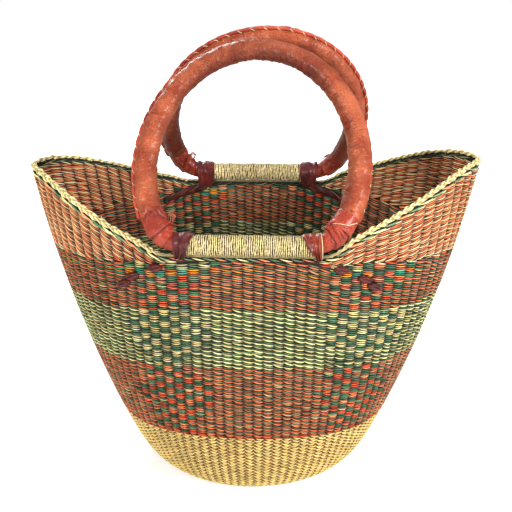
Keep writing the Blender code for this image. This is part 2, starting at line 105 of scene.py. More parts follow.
# Shape of the woven bowl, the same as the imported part.
bowl = {
    "sideBase": 0.1034,
    "faceBase": 0.0975,
    "thickness": 0.006,
    "sideFoot": 0.0145,
    "faceFoot": 0.0100,
    "sideSlope": 62.5,
    "faceSlope": 70.0,
    "sideTurn": 12.3,
    "faceTurn": 31.0,
    "lowerBand": 0.1837,
    "middleBand": 0.2678,
    "upperBand": 0.3299,
    "barRim": 0.3825,
    "rightEar": 0.4888,
    "leftEar": 0.4788,
    "tipDrop": 0.0146,
    "levelHalf": 0.070,
    "climbLength": 0.030,
    "earStart": 0.2268,
    "rightPower": 1.298,
    "leftPower": 1.573,
    "faceFlat": 0.2103,
    "earPinch": 0.4546,
    "pressStart": 0.78,
    "straightFull": 0.34,
    "straightEnd": 0.55,
}
tableStakes = np.linspace(0, bowl["rightEar"] * 1.15, 400)


def stakeProfile(baseRadius, slope, foot, turn):
    beyond = np.maximum(tableStakes - baseRadius, 0)
    bend = turn * beyond / (bowl["barRim"] - baseRadius)
    angle = np.radians(slope * (1 - np.exp(-beyond / foot)) + bend)
    step = tableStakes[1] - tableStakes[0]
    across = (np.cos(angle[1:]) + np.cos(angle[:-1])) / 2 * step
    upward = (np.sin(angle[1:]) + np.sin(angle[:-1])) / 2 * step
    return np.append(0, np.cumsum(across)), np.append(0, np.cumsum(upward))


sideOut, sideUp = stakeProfile(bowl["sideBase"], bowl["sideSlope"], bowl["sideFoot"], bowl["sideTurn"])
faceOut, faceUp = stakeProfile(bowl["faceBase"], bowl["faceSlope"], bowl["faceFoot"], bowl["faceTurn"])
rimHalf = float(np.interp(bowl["barRim"], tableStakes, sideOut))
barRimTop = float(np.interp(bowl["barRim"], tableStakes, faceUp))


def outerPoint(angles, stakes):
    c = np.cos(angles)
    n = np.sin(angles)
    share = np.clip(stakes / bowl["barRim"], 0, 1.25)
    plan = share ** 2 * (bowl["faceFlat"] * c ** 2 - bowl["earPinch"] * c ** 6)
    straight = 1 / np.maximum(np.abs(n), 0.5) - 1 - bowl["faceFlat"] * c ** 2
    fade = 1 - smooth(np.abs(c), bowl["straightFull"], bowl["straightEnd"] - bowl["straightFull"])
    press = smooth(share, bowl["pressStart"], 1 - bowl["pressStart"])
    x = np.interp(stakes, tableStakes, sideOut) * c
    y = np.interp(stakes, tableStakes, faceOut) * n * (1 + plan + straight * fade * press)
    low = np.interp(stakes, tableStakes, faceUp)
    high = np.interp(stakes, tableStakes, sideUp)
    return np.stack([x, y, low + (high - low) * c * c], axis=-1)


def wallPoint(angles, stakes, depths):
    # A depth is measured inward, square to the outer surface.
    angles, stakes, depths = np.broadcast_arrays(angles, stakes, depths)
    around = outerPoint(angles + 0.003, stakes) - outerPoint(angles - 0.003, stakes)
    along = outerPoint(angles, stakes + 0.0004) - outerPoint(angles, stakes - 0.0004)
    return outerPoint(angles, stakes) - unit(np.cross(around, along)) * depths[..., None]


def rimRise(angles):
    c = np.cos(angles)
    share = np.clip((np.abs(c) - bowl["earStart"]) / (1 - bowl["earStart"]), 0, 1)
    right = (bowl["rightEar"] - bowl["barRim"]) * share ** bowl["rightPower"]
    left = (bowl["leftEar"] - bowl["barRim"]) * share ** bowl["leftPower"]
    climb = np.where(c > 0, right, left) - bowl["tipDrop"] * share ** 10
    level = barRimTop - outerPoint(angles, bowl["barRim"] + 0 * angles)[..., 2]
    level = barRimTop - outerPoint(angles, bowl["barRim"] + level)[..., 2] + level
    mix = smooth(np.abs(c) * rimHalf, bowl["levelHalf"], bowl["climbLength"])
    return level * (1 - mix) + climb * mix


# Heights of the rim parts. The rim is pressed thin under the bars.
rim = {
    "borderHeight": 0.0056,
    "borderPressed": 0.0022,
    "twineHeight": 0.0019,
    "twinePressed": 0.0010,
    "gap": 0.0006,
    "swellStart": 0.070,
    "swellLength": 0.030,
}
bandTop = bowl["barRim"] - rim["borderPressed"] - rim["twinePressed"] - 2 * rim["gap"]


def swell(angles, pressed, full):
    mix = smooth(np.abs(np.cos(angles)) * rimHalf, rim["swellStart"], rim["swellLength"])
    return pressed + (full - pressed) * mix


def rimTop(angles):
    return bowl["barRim"] + rimRise(angles)


def borderLow(angles):
    return rimTop(angles) - swell(angles, rim["borderPressed"], rim["borderHeight"])


def clothTop(angles):
    return borderLow(angles) - swell(angles, rim["twinePressed"], rim["twineHeight"]) - 2 * rim["gap"]


# Columns stand an even distance apart round the wall at every height.
weave = {
    "columns": 88,
    "rowPitch": 0.00215,
    "wingPitch": 0.00195,
    "bulge": 0.0025,
    "overlap": 1.14,
    "height": 0.72,
    "slant": 1.2,
    "leadTurns": 24,
    "blockRows": 3,
    "jitter": 0.12,
    "spread": 0.60,
    "tilt": 0.06,
    "stray": 0.00022,
    "fold": 0.35,
    "stakeDepth": 0.0026,
    "ribHeight": 0.0013,
    "bandSteps": 5,
    "wingSteps": 6,
    "wingLeast": 0.0008,
    "wingGap": 0.0002,
    "redShare": 0.62,
    "firstHeight": 1.14,
    "secondHeight": 0.84,
}
levelStakes = np.linspace(0.055, 0.56, 60)
allColumns = np.arange(weave["columns"] * 4) / 4


def evenAngles():
    # Higher up the columns spread apart more towards the ears than on the faces.
    dense = np.radians(np.linspace(-90, 270, 1441))
    middles = (dense[1:] + dense[:-1]) / 2
    rows = []
    for level in levelStakes:
        path = outerPoint(dense, level + 0 * dense)
        wide = 1 + weave["spread"] * smooth(level, 0.12, 0.26) * np.cos(middles) ** 2
        arc = np.append(0, np.cumsum(np.linalg.norm(np.diff(path, axis=0), axis=1) / wide))
        rows.append(np.interp(np.linspace(0, arc[-1], weave["columns"] + 1), arc, dense))
    return np.array(rows)


angleTable = evenAngles()


def columnAngle(column, stake):
    column, stake = np.broadcast_arrays(np.asarray(column, float), np.asarray(stake, float))
    turns = np.floor(column / weave["columns"])
    inside = column - turns * weave["columns"]
    row = np.clip((stake - levelStakes[0]) / (levelStakes[1] - levelStakes[0]), 0, len(levelStakes) - 1.001)
    r = row.astype(int)
    c = np.minimum(inside.astype(int), weave["columns"] - 1)
    fr = row - r
    fc = inside - c
    lower = angleTable[r, c] * (1 - fc) + angleTable[r, c + 1] * fc
    upper = angleTable[r + 1, c] * (1 - fc) + angleTable[r + 1, c + 1] * fc
    return lower * (1 - fr) + upper * fr + 2 * pi * turns


def onWall(column, stake, depth):
    return wallPoint(columnAngle(column, stake), stake, depth)


def atEdge(edge, column):
    # The stake length of an edge function where this column line meets it.
    column = np.asarray(column, float)
    stake = bowl["barRim"] + 0 * column
    for _ in range(4):
        stake = edge(columnAngle(column, stake))
    return stake


# Node and mesh helpers.
def addNode(tree, kind, wires=None, **settings):
    node = tree.nodes.new(kind)
    for key, value in settings.items():
        setattr(node, key, value)
    for key, value in (wires or {}).items():
        if isinstance(value, bpy.types.NodeSocket):
            tree.links.new(value, node.inputs[key])
        else:
            node.inputs[key].default_value = value
    return node


def newMaterial(name, roughness):
    material = bpy.data.materials.new(name)
    material.use_nodes = True
    shader = material.node_tree.nodes["Principled BSDF"]
    shader.inputs["Roughness"].default_value = roughness
    return material, material.node_tree, shader


def mixColour(tree, share, first, second):
    return addNode(tree, "ShaderNodeMix", {0: share, 6: first, 7: second}, data_type="RGBA").outputs[2]


def ramp(tree, value, low, high, lowValue=0.0, highValue=1.0):
    wires = {"Value": value, "From Min": low, "From Max": high, "To Min": lowValue, "To Max": highValue}
    return addNode(tree, "ShaderNodeMapRange", wires).outputs["Result"]


def calculate(tree, operation, *values, kind="Math"):
    return addNode(tree, "ShaderNode" + kind, dict(enumerate(values)), operation=operation).outputs[0]


def scaled(tree, vector, share):
    return addNode(tree, "ShaderNodeVectorMath", {0: vector, "Scale": share}, operation="SCALE").outputs[0]


def attribute(tree, name, output="Vector"):
    return addNode(tree, "ShaderNodeAttribute", attribute_name=name).outputs[output]


def objectPlace(tree):
    return addNode(tree, "ShaderNodeTexCoord").outputs["Object"]


def noiseTexture(tree, place, scale, detail, distortion=0.0):
    wires = {"Vector": place, "Scale": scale, "Detail": detail, "Distortion": distortion}
    return addNode(tree, "ShaderNodeTexNoise", wires).outputs["Fac"]


def cover(tree, shader, colour, height, strength, distance):
    # Gives a surface its colour and its fine relief.
    tree.links.new(colour, shader.inputs["Base Color"])
    bump = addNode(tree, "ShaderNodeBump", {"Height": height, "Strength": strength, "Distance": distance})
    tree.links.new(bump.outputs["Normal"], shader.inputs["Normal"])


def rgba(hexColour, share=1.0):
    return (*(share * channel for channel in linear(hexColour)), 1)


def linked(name, data):
    obj = bpy.data.objects.new(name, data)
    bpy.context.scene.collection.objects.link(obj)
    return obj


def makeObject(name, points, faces, materials, attributes=None):
    mesh = bpy.data.meshes.new(name)
    mesh.from_pydata(np.asarray(points, float).tolist(), [], [list(f) for f in faces])
    for material in materials:
        mesh.materials.append(material)
    for key, values in (attributes or {}).items():
        values = np.asarray(values, np.float32)
        kind = {1: "FLOAT", 2: "FLOAT_VECTOR"}[values.ndim]
        layer = mesh.attributes.new(key, kind, "POINT")
        layer.data.foreach_set("value" if kind == "FLOAT" else "vector", values.ravel())
    mesh.validate()
    mesh.shade_smooth()
    return linked(name, mesh)


def settle(objects, body, node=None):
    for obj in objects:
        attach(obj, body)
        if node:
            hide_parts(node)


def dress(name, points, faces, material, body, node=None, slotName=None, **attributes):
    settle([makeObject(name, points, faces, [material], attributes)], body, node)


def gridFaces(rows, columns, closeRows=False, closeColumns=False):
    r = np.arange(rows if closeRows else rows - 1)
    c = np.arange(columns if closeColumns else columns - 1)
    r, c = np.meshgrid(r, c, indexing="ij")
    below, above = r * columns, ((r + 1) % rows) * columns
    here, after = c, (c + 1) % columns
    corners = [below + here, below + after, above + after, above + here]
    return np.stack(corners, axis=-1).reshape(-1, 4).tolist()


def outward(points, faces):
    # Turns every face round if the closed shape is inside out.
    volume = 0
    for face in faces:
        for i in range(1, len(face) - 1):
            volume += np.dot(points[face[0]], np.cross(points[face[i]], points[face[i + 1]]))
    return faces if volume > 0 else [list(reversed(f)) for f in faces]


def ringTurns(sides):
    return 2 * pi * np.arange(sides) / sides


def arcLength(path):
    return np.append(0, np.cumsum(np.linalg.norm(np.diff(path, axis=0), axis=1)))


def interpAlong(where, arc, values):
    return np.stack([np.interp(where, arc, values[:, axis]) for axis in range(3)], axis=-1)


def eased(points, times):
    # Each pass draws every point but the ends halfway to the middle of its neighbours.
    points = np.array(points)
    for _ in range(times):
        points[1:-1] = points[1:-1] * 0.5 + (points[:-2] + points[2:]) * 0.25
    return points


def tubes(paths, normals, widths, heights, sides=6):
    # Closed tubes along n paths of m points. Normals give the height direction.
    # Returns points, faces and straw places.
    paths = np.asarray(paths, float)
    n, m = paths.shape[:2]
    tangent = unit(np.gradient(paths, axis=1))
    side = unit(np.cross(tangent, np.broadcast_to(normals, paths.shape)))
    up = np.cross(side, tangent)
    angles = ringTurns(sides)
    widths = np.broadcast_to(widths, (n, m))[..., None, None]
    heights = np.broadcast_to(heights, (n, m))[..., None, None]
    ring = side[:, :, None] * np.cos(angles)[:, None] * widths
    ring = ring + up[:, :, None] * np.sin(angles)[:, None] * heights
    points = (paths[:, :, None] + ring).reshape(-1, 3)
    arc = np.cumsum(np.linalg.norm(np.diff(paths, axis=1, prepend=paths[:, :1]), axis=2), axis=1)
    along, turn = np.broadcast_arrays(arc[..., None] * 1000, angles)
    places = np.stack([along, np.cos(turn), np.sin(turn)], axis=-1).reshape(-1, 3)
    one = np.array(gridFaces(m, sides, closeColumns=True))
    faces = (one[None] + (np.arange(n) * m * sides)[:, None, None]).reshape(-1, 4)[:, ::-1].tolist()
    for start in range(0, n * m * sides, m * sides):
        last = start + (m - 1) * sides
        faces.append(list(range(start, start + sides)))
        faces.append(list(range(last + sides - 1, last - 1, -1)))
    return points, faces, places


class Batch:
    # Collects shapes with straw attributes into one mesh.
    def __init__(self):
        self.points = []
        self.faces = []
        self.colours = []
        self.places = []
        self.ends = []
        self.total = 0

    # The ends value of a shape is its painted light: 0 paints a highlight and 1 paints shade.
    def add(self, points, faces, places, colours, ends=0.0):
        count = len(points)
        self.points.append(points)
        self.faces += [[i + self.total for i in face] for face in faces]
        self.places.append(places)
        self.colours.append(np.broadcast_to(colours, (count, 3)))
        self.ends.append(np.broadcast_to(ends, (count,)))
        self.total += count

    def build(self, name, materials):
        attributes = {
            "strawColour": np.concatenate(self.colours),
            "strawPlace": np.concatenate(self.places),
            "strawPaintedLight": np.concatenate(self.ends),
        }
        return makeObject(name, np.concatenate(self.points), self.faces, materials, attributes)


# Materials.
def strawMaterial(name, roughness, fibreDepth, endDark, fibreContrast):
    # Split grass straw: a colour for each stitch and fine lengthwise fibres, with a painted highlight and
    # pale painted glints along each stitch's crown, and painted shade on its sides and ends.
    material, tree, shader = newMaterial(name, roughness)
    tint = attribute(tree, "strawColour")
    end = attribute(tree, "strawPaintedLight", "Fac")
    where = objectPlace(tree)
    spread = calculate(tree, "MULTIPLY", attribute(tree, "strawPlace"), (0.22, 3.2, 3.2), kind="VectorMath")
    shift = calculate(tree, "MULTIPLY", where, (90, 90, 90), kind="VectorMath")
    fibre = noiseTexture(tree, calculate(tree, "ADD", spread, shift, kind="VectorMath"), 1.0, 2.0)
    light = ramp(tree, fibre, 0.25, 0.75, 1 - fibreContrast, 1 + fibreContrast * 0.6)
    age = ramp(tree, noiseTexture(tree, where, 38.0, 2.0), 0.3, 0.7, 0.9, 1.06)
    # Painted light: a value of 0 paints the crown 1.5 times lighter as a highlight, and 1 paints the sides
    # and ends darker as shade.
    edge = ramp(tree, end, 0.0, 1.0, 1.5, endDark)
    share = calculate(tree, "MULTIPLY", calculate(tree, "MULTIPLY", light, age), edge)
    # Pale painted glints in the fibres along the crown.
    paintedGlint = calculate(tree, "MULTIPLY", ramp(tree, fibre, 0.5, 0.72), ramp(tree, end, 0.0, 0.5, 0.3, 0.0))
    colour = mixColour(tree, paintedGlint, scaled(tree, tint, share), rgba("F6E4BC"))
    cover(tree, shader, colour, fibre, 0.8, fibreDepth)
    shader.inputs["Specular IOR Level"].default_value = 0.22
    return material


def plainMaterial(name, hexColour, roughness, grain=0.0004):
    material, tree, shader = newMaterial(name, roughness)
    speck = noiseTexture(tree, objectPlace(tree), 420.0, 3.0)
    colour = mixColour(tree, ramp(tree, speck, 0.3, 0.7), rgba(hexColour, 0.72), rgba(hexColour))
    cover(tree, shader, colour, speck, 0.6, grain)
    return material


def leatherMaterial(name, pale, mid, dark, roughness, crease, coat):
    # Dyed goat leather pulled over a form: fine creases with painted shade in them, and paler flecks on the
    # high points of the fine grain.
    # An attribute of painted shade darkens hollows, folds, seams, slits and the shaded sides of the hoops,
    # and on the straps gives a random darker tone.
    # The attribute leatherPlace runs along a hoop.
    material, tree, shader = newMaterial(name, roughness)
    where = objectPlace(tree)
    broad = noiseTexture(tree, where, 45.0, 4.0)
    fine = noiseTexture(tree, where, 520.0, 4.0)
    cells = addNode(tree, "ShaderNodeTexVoronoi", {"Vector": where, "Scale": 640.0},
                    feature="DISTANCE_TO_EDGE")
    creases = ramp(tree, cells.outputs["Distance"], 0.0, 0.16)
    base = mixColour(tree, ramp(tree, broad, 0.35, 0.65), rgba(dark), rgba(mid))
    base = mixColour(tree, ramp(tree, fine, 0.5, 0.78, 0.0, 0.3), base, rgba(pale))
    # Painted shade along the crease lines.
    base = mixColour(tree, ramp(tree, creases, 0.0, 1.0, 0.28, 0.0), base, rgba(dark))
    # Painted shade from the attribute.
    deep = ramp(tree, attribute(tree, "leatherShade", "Fac"), 0.0, 1.0, 0.0, 0.9)
    base = mixColour(tree, deep, base, rgba(dark, 0.35))
    pulled = noiseTexture(tree, attribute(tree, "leatherPlace"), 1.0, 3.0, 0.6)
    height = calculate(tree, "MULTIPLY_ADD", pulled, 2.2, calculate(tree, "ADD", fine, creases))
    cover(tree, shader, base, height, 0.8, crease)
    shader.inputs["Specular IOR Level"].default_value = 0.35
    shader.inputs["Coat Weight"].default_value = coat
    shader.inputs["Coat Roughness"].default_value = 0.3
    return material


# Split elephant grass, dyed or left pale, twisted tight and twined.
twinedStraw = strawMaterial("twined_grass_straw", 0.42, 0.0004, 0.05, 0.5)
# The undyed straw of the base, a little waxier.
baseStraw = strawMaterial("undyed_twined_straw", 0.42, 0.00035, 0.24, 0.34)
# Pale straw plaited over the rim.
plaitedStraw = strawMaterial("plaited_rim_straw", 0.5, 0.0003, 0.3, 0.34)
# Fine twisted straw cord wound on the bars.
woundStraw = strawMaterial("wound_straw_cord", 0.42, 0.0002, 0.3, 0.34)
# Bare stakes seen in the gaps between the stitches, coloured dark as painted shade in the gaps.
darkStakes = plainMaterial("shaded_straw_stakes", dyes["shade"], 0.8)
greenStakes = plainMaterial("shaded_green_stakes", dyes["greenShade"], 0.8)
redStakes = plainMaterial("shaded_red_stakes", dyes["redShade"], 0.8)
paleStakes = plainMaterial("shaded_pale_stakes", dyes["baseShade"], 0.8)
# Coral goat leather sewn wet round the hoops, glossy and finely wrinkled.
coralLeather = leatherMaterial("coral_goat_leather", "FFC6A2", "FF8858", "C24C28", 0.44, 0.0028, 0.25)
# Red folded leather of the welt.
weltLeather = leatherMaterial("red_welt_leather", "EE8E6C", "D4583C", "9A3020", 0.44, 0.0003, 0.05)
# Leather scraps bound wet over the joins.
wrapLeather = leatherMaterial("bound_wrap_leather", "EE7A54", "CC4A30", "862212", 0.34, 0.0008, 0.35)
# Maroon and rust leather of the cuffs.
maroonLeather = leatherMaterial("maroon_cuff_leather", "9A3630", "6E1A16", "3A0907", 0.36, 0.0005, 0.2)
rustLeather = leatherMaterial("rust_cuff_leather", "D86C44", "B04224", "6E1E0E", 0.32, 0.0005, 0.3)
# Thong pulled through the weave.
thongLeather = leatherMaterial("knotted_thong_leather", "9A3C2C", "6E2018", "3C0C08", 0.34, 0.0004, 0.25)
# Cream thread and raw cut edges.
creamThread = plainMaterial("cream_thread", "E8D2A2", 0.7, 0.0001)
# Bent cane of the hoops.
bentCane = plainMaterial("bent_cane", "C9A56A", 0.6, 0.0002)
print("materials made")


# Many small stitches: points carry a place, two directions, a size and a colour.
def scatterTree():
    tree = bpy.data.node_groups.new("stitch_scatter", "GeometryNodeTree")
    sockets = {
        "Sites": "Geometry",
        "Stitch": "Object",
        "Shell": "Object",
        "Straw": "Material",
        "Jitter": "Float",
        "Seed": "Int",
    }
    for name, kind in sockets.items():
        tree.interface.new_socket(name=name, in_out="INPUT", socket_type="NodeSocket" + kind)
    tree.interface.new_socket(name="Weave", in_out="OUTPUT", socket_type="NodeSocketGeometry")
    entry = addNode(tree, "NodeGroupInput").outputs

    def named(name):
        kind = "GeometryNodeInputNamedAttribute"
        return addNode(tree, kind, {"Name": name}, data_type="FLOAT_VECTOR").outputs[0]

    turn = addNode(tree, "FunctionNodeAxesToRotation",
                   {"Primary Axis": named("siteOut"), "Secondary Axis": named("siteAcross")},
                   primary_axis="Z", secondary_axis="X").outputs[0]
    least = calculate(tree, "SUBTRACT", 1.0, entry["Jitter"])
    most = calculate(tree, "ADD", 1.0, entry["Jitter"])
    wires = {2: least, 3: most, "Seed": entry["Seed"]}
    vary = addNode(tree, "FunctionNodeRandomValue", wires, data_type="FLOAT").outputs[1]
    size = scaled(tree, named("siteSize"), vary)
    stitch = addNode(tree, "GeometryNodeObjectInfo", {"Object": entry["Stitch"]}).outputs["Geometry"]
    placed = addNode(tree, "GeometryNodeInstanceOnPoints",
                     {"Points": entry["Sites"], "Instance": stitch, "Rotation": turn, "Scale": size})
    real = addNode(tree, "GeometryNodeRealizeInstances", {"Geometry": placed.outputs["Instances"]}).outputs[0]
    dyed = addNode(tree, "GeometryNodeSetMaterial", {"Geometry": real, "Material": entry["Straw"]}).outputs[0]
    shell = addNode(tree, "GeometryNodeObjectInfo", {"Object": entry["Shell"]}).outputs["Geometry"]
    joined = addNode(tree, "GeometryNodeJoinGeometry")
    tree.links.new(shell, joined.inputs[0])
    tree.links.new(dyed, joined.inputs[0])
    addNode(tree, "NodeGroupOutput", {0: joined.outputs[0]})
    return tree


scatterGroup = scatterTree()


def stitchShape(name, slant, sides=5):
    # One lens-shaped pass of straw over a stake: unit long, unit high and unit deep at its ends.
    stops = np.array([-0.82, -0.32, 0.32, 0.82])
    half = np.array([0.30, 0.5, 0.5, 0.30])
    thick = np.array([0.22, 0.36, 0.36, 0.22])
    deep = 1 - np.cos(stops * pi / 2) ** 0.8
    turns = np.radians(90 + 360 * np.arange(sides) / sides)
    rings = []
    for stop, h, q, d in zip(stops, half, thick, deep):
        y = np.cos(turns) * h - slant * stop / 2
        z = np.sin(turns) * q - d - 0.34
        rings.append(np.stack([0 * turns + stop / 2, y, z], axis=-1))
    points = np.concatenate(rings + [[[-0.5, slant / 2, -1.2]], [[0.5, -slant / 2, -1.2]]])
    faces = gridFaces(4, sides, closeColumns=True)
    first = 4 * sides
    faces += [[first, (i + 1) % sides, i] for i in range(sides)]
    faces += [[first + 1, 3 * sides + i, 3 * sides + (i + 1) % sides] for i in range(sides)]
    # The crown row gets a painted highlight, lightest at its middle; the other points and both tips are
    # painted shade.
    crown = np.append(np.tile(np.arange(sides) == 0, 4), [False, False])
    ends = np.where(crown, np.abs(points[:, 0]) ** 2 * 2.0, 0.85)
    attributes = {"strawPlace": points * np.array([11, 2.2, 2.4]), "strawPaintedLight": ends}
    obj = makeObject(name, points, outward(points, faces), [twinedStraw], attributes)
    obj.hide_render = True
    return obj


twinedStitch = stitchShape("stitch_twined", weave["slant"])
flatStitch = stitchShape("stitch_flat", 0.35)
wingStitch = stitchShape("stitch_wing", 1.9)


def scatter(name, sites, stitch, material, shell=None, jitter=0.0, seed=1):
    mesh = bpy.data.meshes.new(name + "_sites")
    mesh.vertices.add(len(sites["place"]))
    mesh.vertices.foreach_set("co", sites["place"].astype(np.float32).ravel())
    layers = {"siteOut": "out", "siteAcross": "across", "siteSize": "size", "strawColour": "colour"}
    for layerName, key in layers.items():
        layer = mesh.attributes.new(layerName, "FLOAT_VECTOR", "POINT")
        layer.data.foreach_set("vector", sites[key].astype(np.float32).ravel())
    carrier = linked(name + "_sites", mesh)
    modifier = carrier.modifiers.new("scatter", "NODES")
    modifier.node_group = scatterGroup
    values = {"Stitch": stitch, "Shell": shell, "Straw": material, "Jitter": jitter, "Seed": seed}
    for item in scatterGroup.interface.items_tree:
        if item.in_out == "INPUT" and item.name in values:
            modifier[item.identifier] = values[item.name]
    carrier.update_tag()
    graph = bpy.context.evaluated_depsgraph_get()
    made = bpy.data.meshes.new_from_object(carrier.evaluated_get(graph), depsgraph=graph)
    made.name = name
    for layerName in ("siteOut", "siteAcross", "siteSize"):
        if layerName in made.attributes:
            made.attributes.remove(made.attributes[layerName])
    bpy.data.objects.remove(carrier)
    if shell is not None:
        bpy.data.objects.remove(shell)
    triangles = sum(len(polygon.vertices) - 2 for polygon in made.polygons)
    print(name, len(sites["place"]), "stitches,", triangles, "triangles")
    return linked(name, made)


def joinSites(parts):
    return {key: np.concatenate([part[key] for part in parts]) for key in parts[0]}


def wallSites(columns, stakes, colours, inner, slopes=0.0, bulge=None, pitch=None):
    # Slopes give the change of stake length from one column to the next along a row.
    depth = bowl["thickness"] if inner else 0.0
    before = onWall(columns - 0.5, stakes - slopes / 2, depth)
    after = onWall(columns + 0.5, stakes + slopes / 2, depth)
    place = onWall(columns, stakes, depth)
    up = onWall(columns, stakes + 0.001, depth) - onWall(columns, stakes - 0.001, depth)
    span = after - before
    out = unit(np.cross(span, up))
    length = np.linalg.norm(span, axis=1) * weave["overlap"]
    if inner:
        # The ears fold sharply at their tips, so the inner stitches there reach further over each other.
        length *= 1 + weave["fold"] * smooth(np.abs(np.cos(columnAngle(columns, stakes))), 0.95, 0.04)
    up = unit(up)
    place = place + up * (weave["stray"] * chance.normal(size=(len(up), 1)))
    span = unit(span) + up * (weave["tilt"] * chance.normal(size=(len(up), 1)))
    if inner:
        out = -out
        span = -span
    high = (pitch or weave["rowPitch"]) * weave["height"]
    size = np.stack(np.broadcast_arrays(length, high, bulge or weave["bulge"]), axis=1)
    return {"place": place, "out": out, "across": unit(span), "size": size, "colour": colours}


def shellObject(name, lows, highs, rows, material, columns=None):
    # The stakes behind the stitches: a closed shell with a rib at every column.
    # The shell's dark material is painted shade in the gaps between the stitches.
    ring = columns is None
    if ring:
        columns = allColumns
    lows = np.broadcast_to(lows, columns.shape)
    stakes = lows + (highs - lows) * np.linspace(0, 1, rows + 1)[:, None]
    rib = np.cos(columns * 2 * pi) * 0.5 + 0.5
    near = weave["stakeDepth"] - weave["ribHeight"] * rib
    outer = onWall(columns, stakes, near)
    innerSide = onWall(columns, stakes, bowl["thickness"] - near)
    points = np.concatenate([outer, innerSide[::-1]]).reshape(-1, 3)
    lines = 2 * rows + 2
    faces = gridFaces(lines, len(columns), closeRows=True, closeColumns=ring)
    if not ring:
        faces.append([r * len(columns) for r in range(lines)])
        faces.append([r * len(columns) + len(columns) - 1 for r in reversed(range(lines))])
    return makeObject(name, points, outward(points, faces), [material])


paint = {key: np.array(linear(value)) for key, value in dyes.items()}


def varied(colours, amount=0.29):
    # Each stitch is dyed a little lighter, darker or warmer than the next, and some are faded.
    count = (len(colours), 1)
    light = 1 + amount * chance.normal(size=count)
    warm = 1 + 0.05 * chance.normal(size=count) * np.array([[1.0, 0.2, -0.8]])
    faded = 0.3 * smooth(chance.uniform(size=count), 0.8, 0.2)
    colours = colours * (1 - faded) + paint["cream"] * faded
    return np.clip(colours * np.clip(light, 0.45, 1.6) * warm, 0.004, 0.95)


def pick(mask, first, second):
    # The first colour where the mask holds, and the second elsewhere.
    return np.where(mask[:, None], first, second)


def columnsAway(columns, centre):
    return np.abs((columns - centre + weave["columns"] / 2) % weave["columns"] - weave["columns"] / 2)


# Zones of checks on the two faces: centre column, and half width at the foot, middle and top of a band.
zones = {
    "centres": (-7.5, 11.2, 36.5, 51.5),
    "lower": (1.6, 4.3, 2.6),
    "middle": (1.4, 4.0, 3.2),
    "upper": (1.8, 3.2, 4.6),
}


def inZone(band, columns, share):
    half = np.interp(share, (0.0, 0.6, 1.0), zones[band])
    wobble = lattice(columns, np.floor(share * 11), 0, 5.0) - 0.5
    found = [columnsAway(columns, centre) < half + wobble * 1.6 for centre in zones["centres"]]
    return np.any(found, axis=0)


def bandSites(band, low, high, inner):
    # Two strands twine along each row, so their colours step down from column to column.
    total = int(round((bandTop - bowl["lowerBand"]) / weave["rowPitch"]))
    pitch = (bandTop - bowl["lowerBand"]) / total
    rows = (high - low) / pitch
    numbers = np.arange(weave["columns"])
    lines = np.arange(-weave["leadTurns"] - 1, total + 1)
    k, i = (axis.ravel() for axis in np.meshgrid(numbers, lines, indexing="ij"))
    stakes = bowl["lowerBand"] + (i + weave["leadTurns"] / weave["columns"] * k + 0.5) * pitch
    keep = (stakes >= low) & (stakes < high)
    if band == "upper":
        keep &= stakes < np.minimum(atEdge(clothTop, numbers), high)[k] - 0.2 * pitch
    k, i, stakes = k[keep], i[keep], stakes[keep]
    u = (stakes - low) / pitch
    blocks = np.floor((rows - u) / weave["blockRows"]).astype(int)
    zone = inZone(band, k.astype(float), u / rows)
    first = np.where(zone, (blocks + k) % 2 == 0, (i + k) % 2 == 0)
    checks = pick(first, paint["red"], paint["green"])
    checks = pick(first & (lattice(k, i, 0, 15.0) > weave["redShare"]), paint["coral"], checks)
    stripes = pick(first, paint["brick"], paint["olive"])
    if band == "middle":
        checks = pick(first, paint["gold"], paint["green"])
        stripes = pick(first, paint["natural"], paint["moss"])
    if band == "upper":
        kept = lattice(k, blocks, 0, 12.0)
        vivid = pick(first, paint["orange"], paint["teal"])
        checks = pick((blocks == 0) & first, pick(kept > 0.45, paint["natural"], paint["coral"]), checks)
        checks = pick((blocks == 1) & (kept > 0.25), vivid, checks)
        stripes = pick((blocks == 1) & (lattice(k, i, 0, 9.0) > 0.72), vivid, stripes)
    colours = pick(zone, checks, stripes)
    if band == "lower":
        colours = pick(u < 1.2, paint["red"], colours)
    sites = wallSites(k.astype(float), stakes, varied(colours), inner, pitch=pitch)
    # Between the zones the first strand stands fuller than the second, which lies behind it.
    sites["size"][:, 1] *= np.where(zone, 1.0, np.where(first, weave["firstHeight"], weave["secondHeight"]))
    return sites, zone


def chosen(sites, mask):
    return {key: values[mask] for key, values in sites.items()}


def bothStitches(name, sites, zone, shell, seed):
    # Checked stitches lie flatter than striped ones.
    jitter = weave["jitter"]
    striped = scatter(name + "_stripes", chosen(sites, ~zone), twinedStitch, twinedStraw, shell, jitter, seed)
    checked = scatter(name + "_checks", chosen(sites, zone), flatStitch, twinedStraw, None, jitter, seed + 1)
    return [striped, checked]


bands = (
    ("lower", bowl["lowerBand"], bowl["middleBand"], darkStakes, "red_green_straw"),
    ("middle", bowl["middleBand"], bowl["upperBand"], greenStakes, "green_natural_straw"),
    ("upper", bowl["upperBand"], bandTop, darkStakes, "red_teal_straw"),
)
clothEdge = atEdge(clothTop, allColumns)
for band, low, high, stakes, slotName in bands:
    top = np.minimum(high, clothEdge) if band == "upper" else high
    shell = shellObject(band + "_shell", low, top, weave["bandSteps"], stakes)
    for inner in (False, True):
        sites, zone = bandSites(band, low, high, inner)
        side = "inside" if inner else "outside"
        made = bothStitches(f"{band}_band_{side}", sites, zone, None if inner else shell, 3 + inner)
        settle(made, "basket", band + "_band")
print("bands woven")


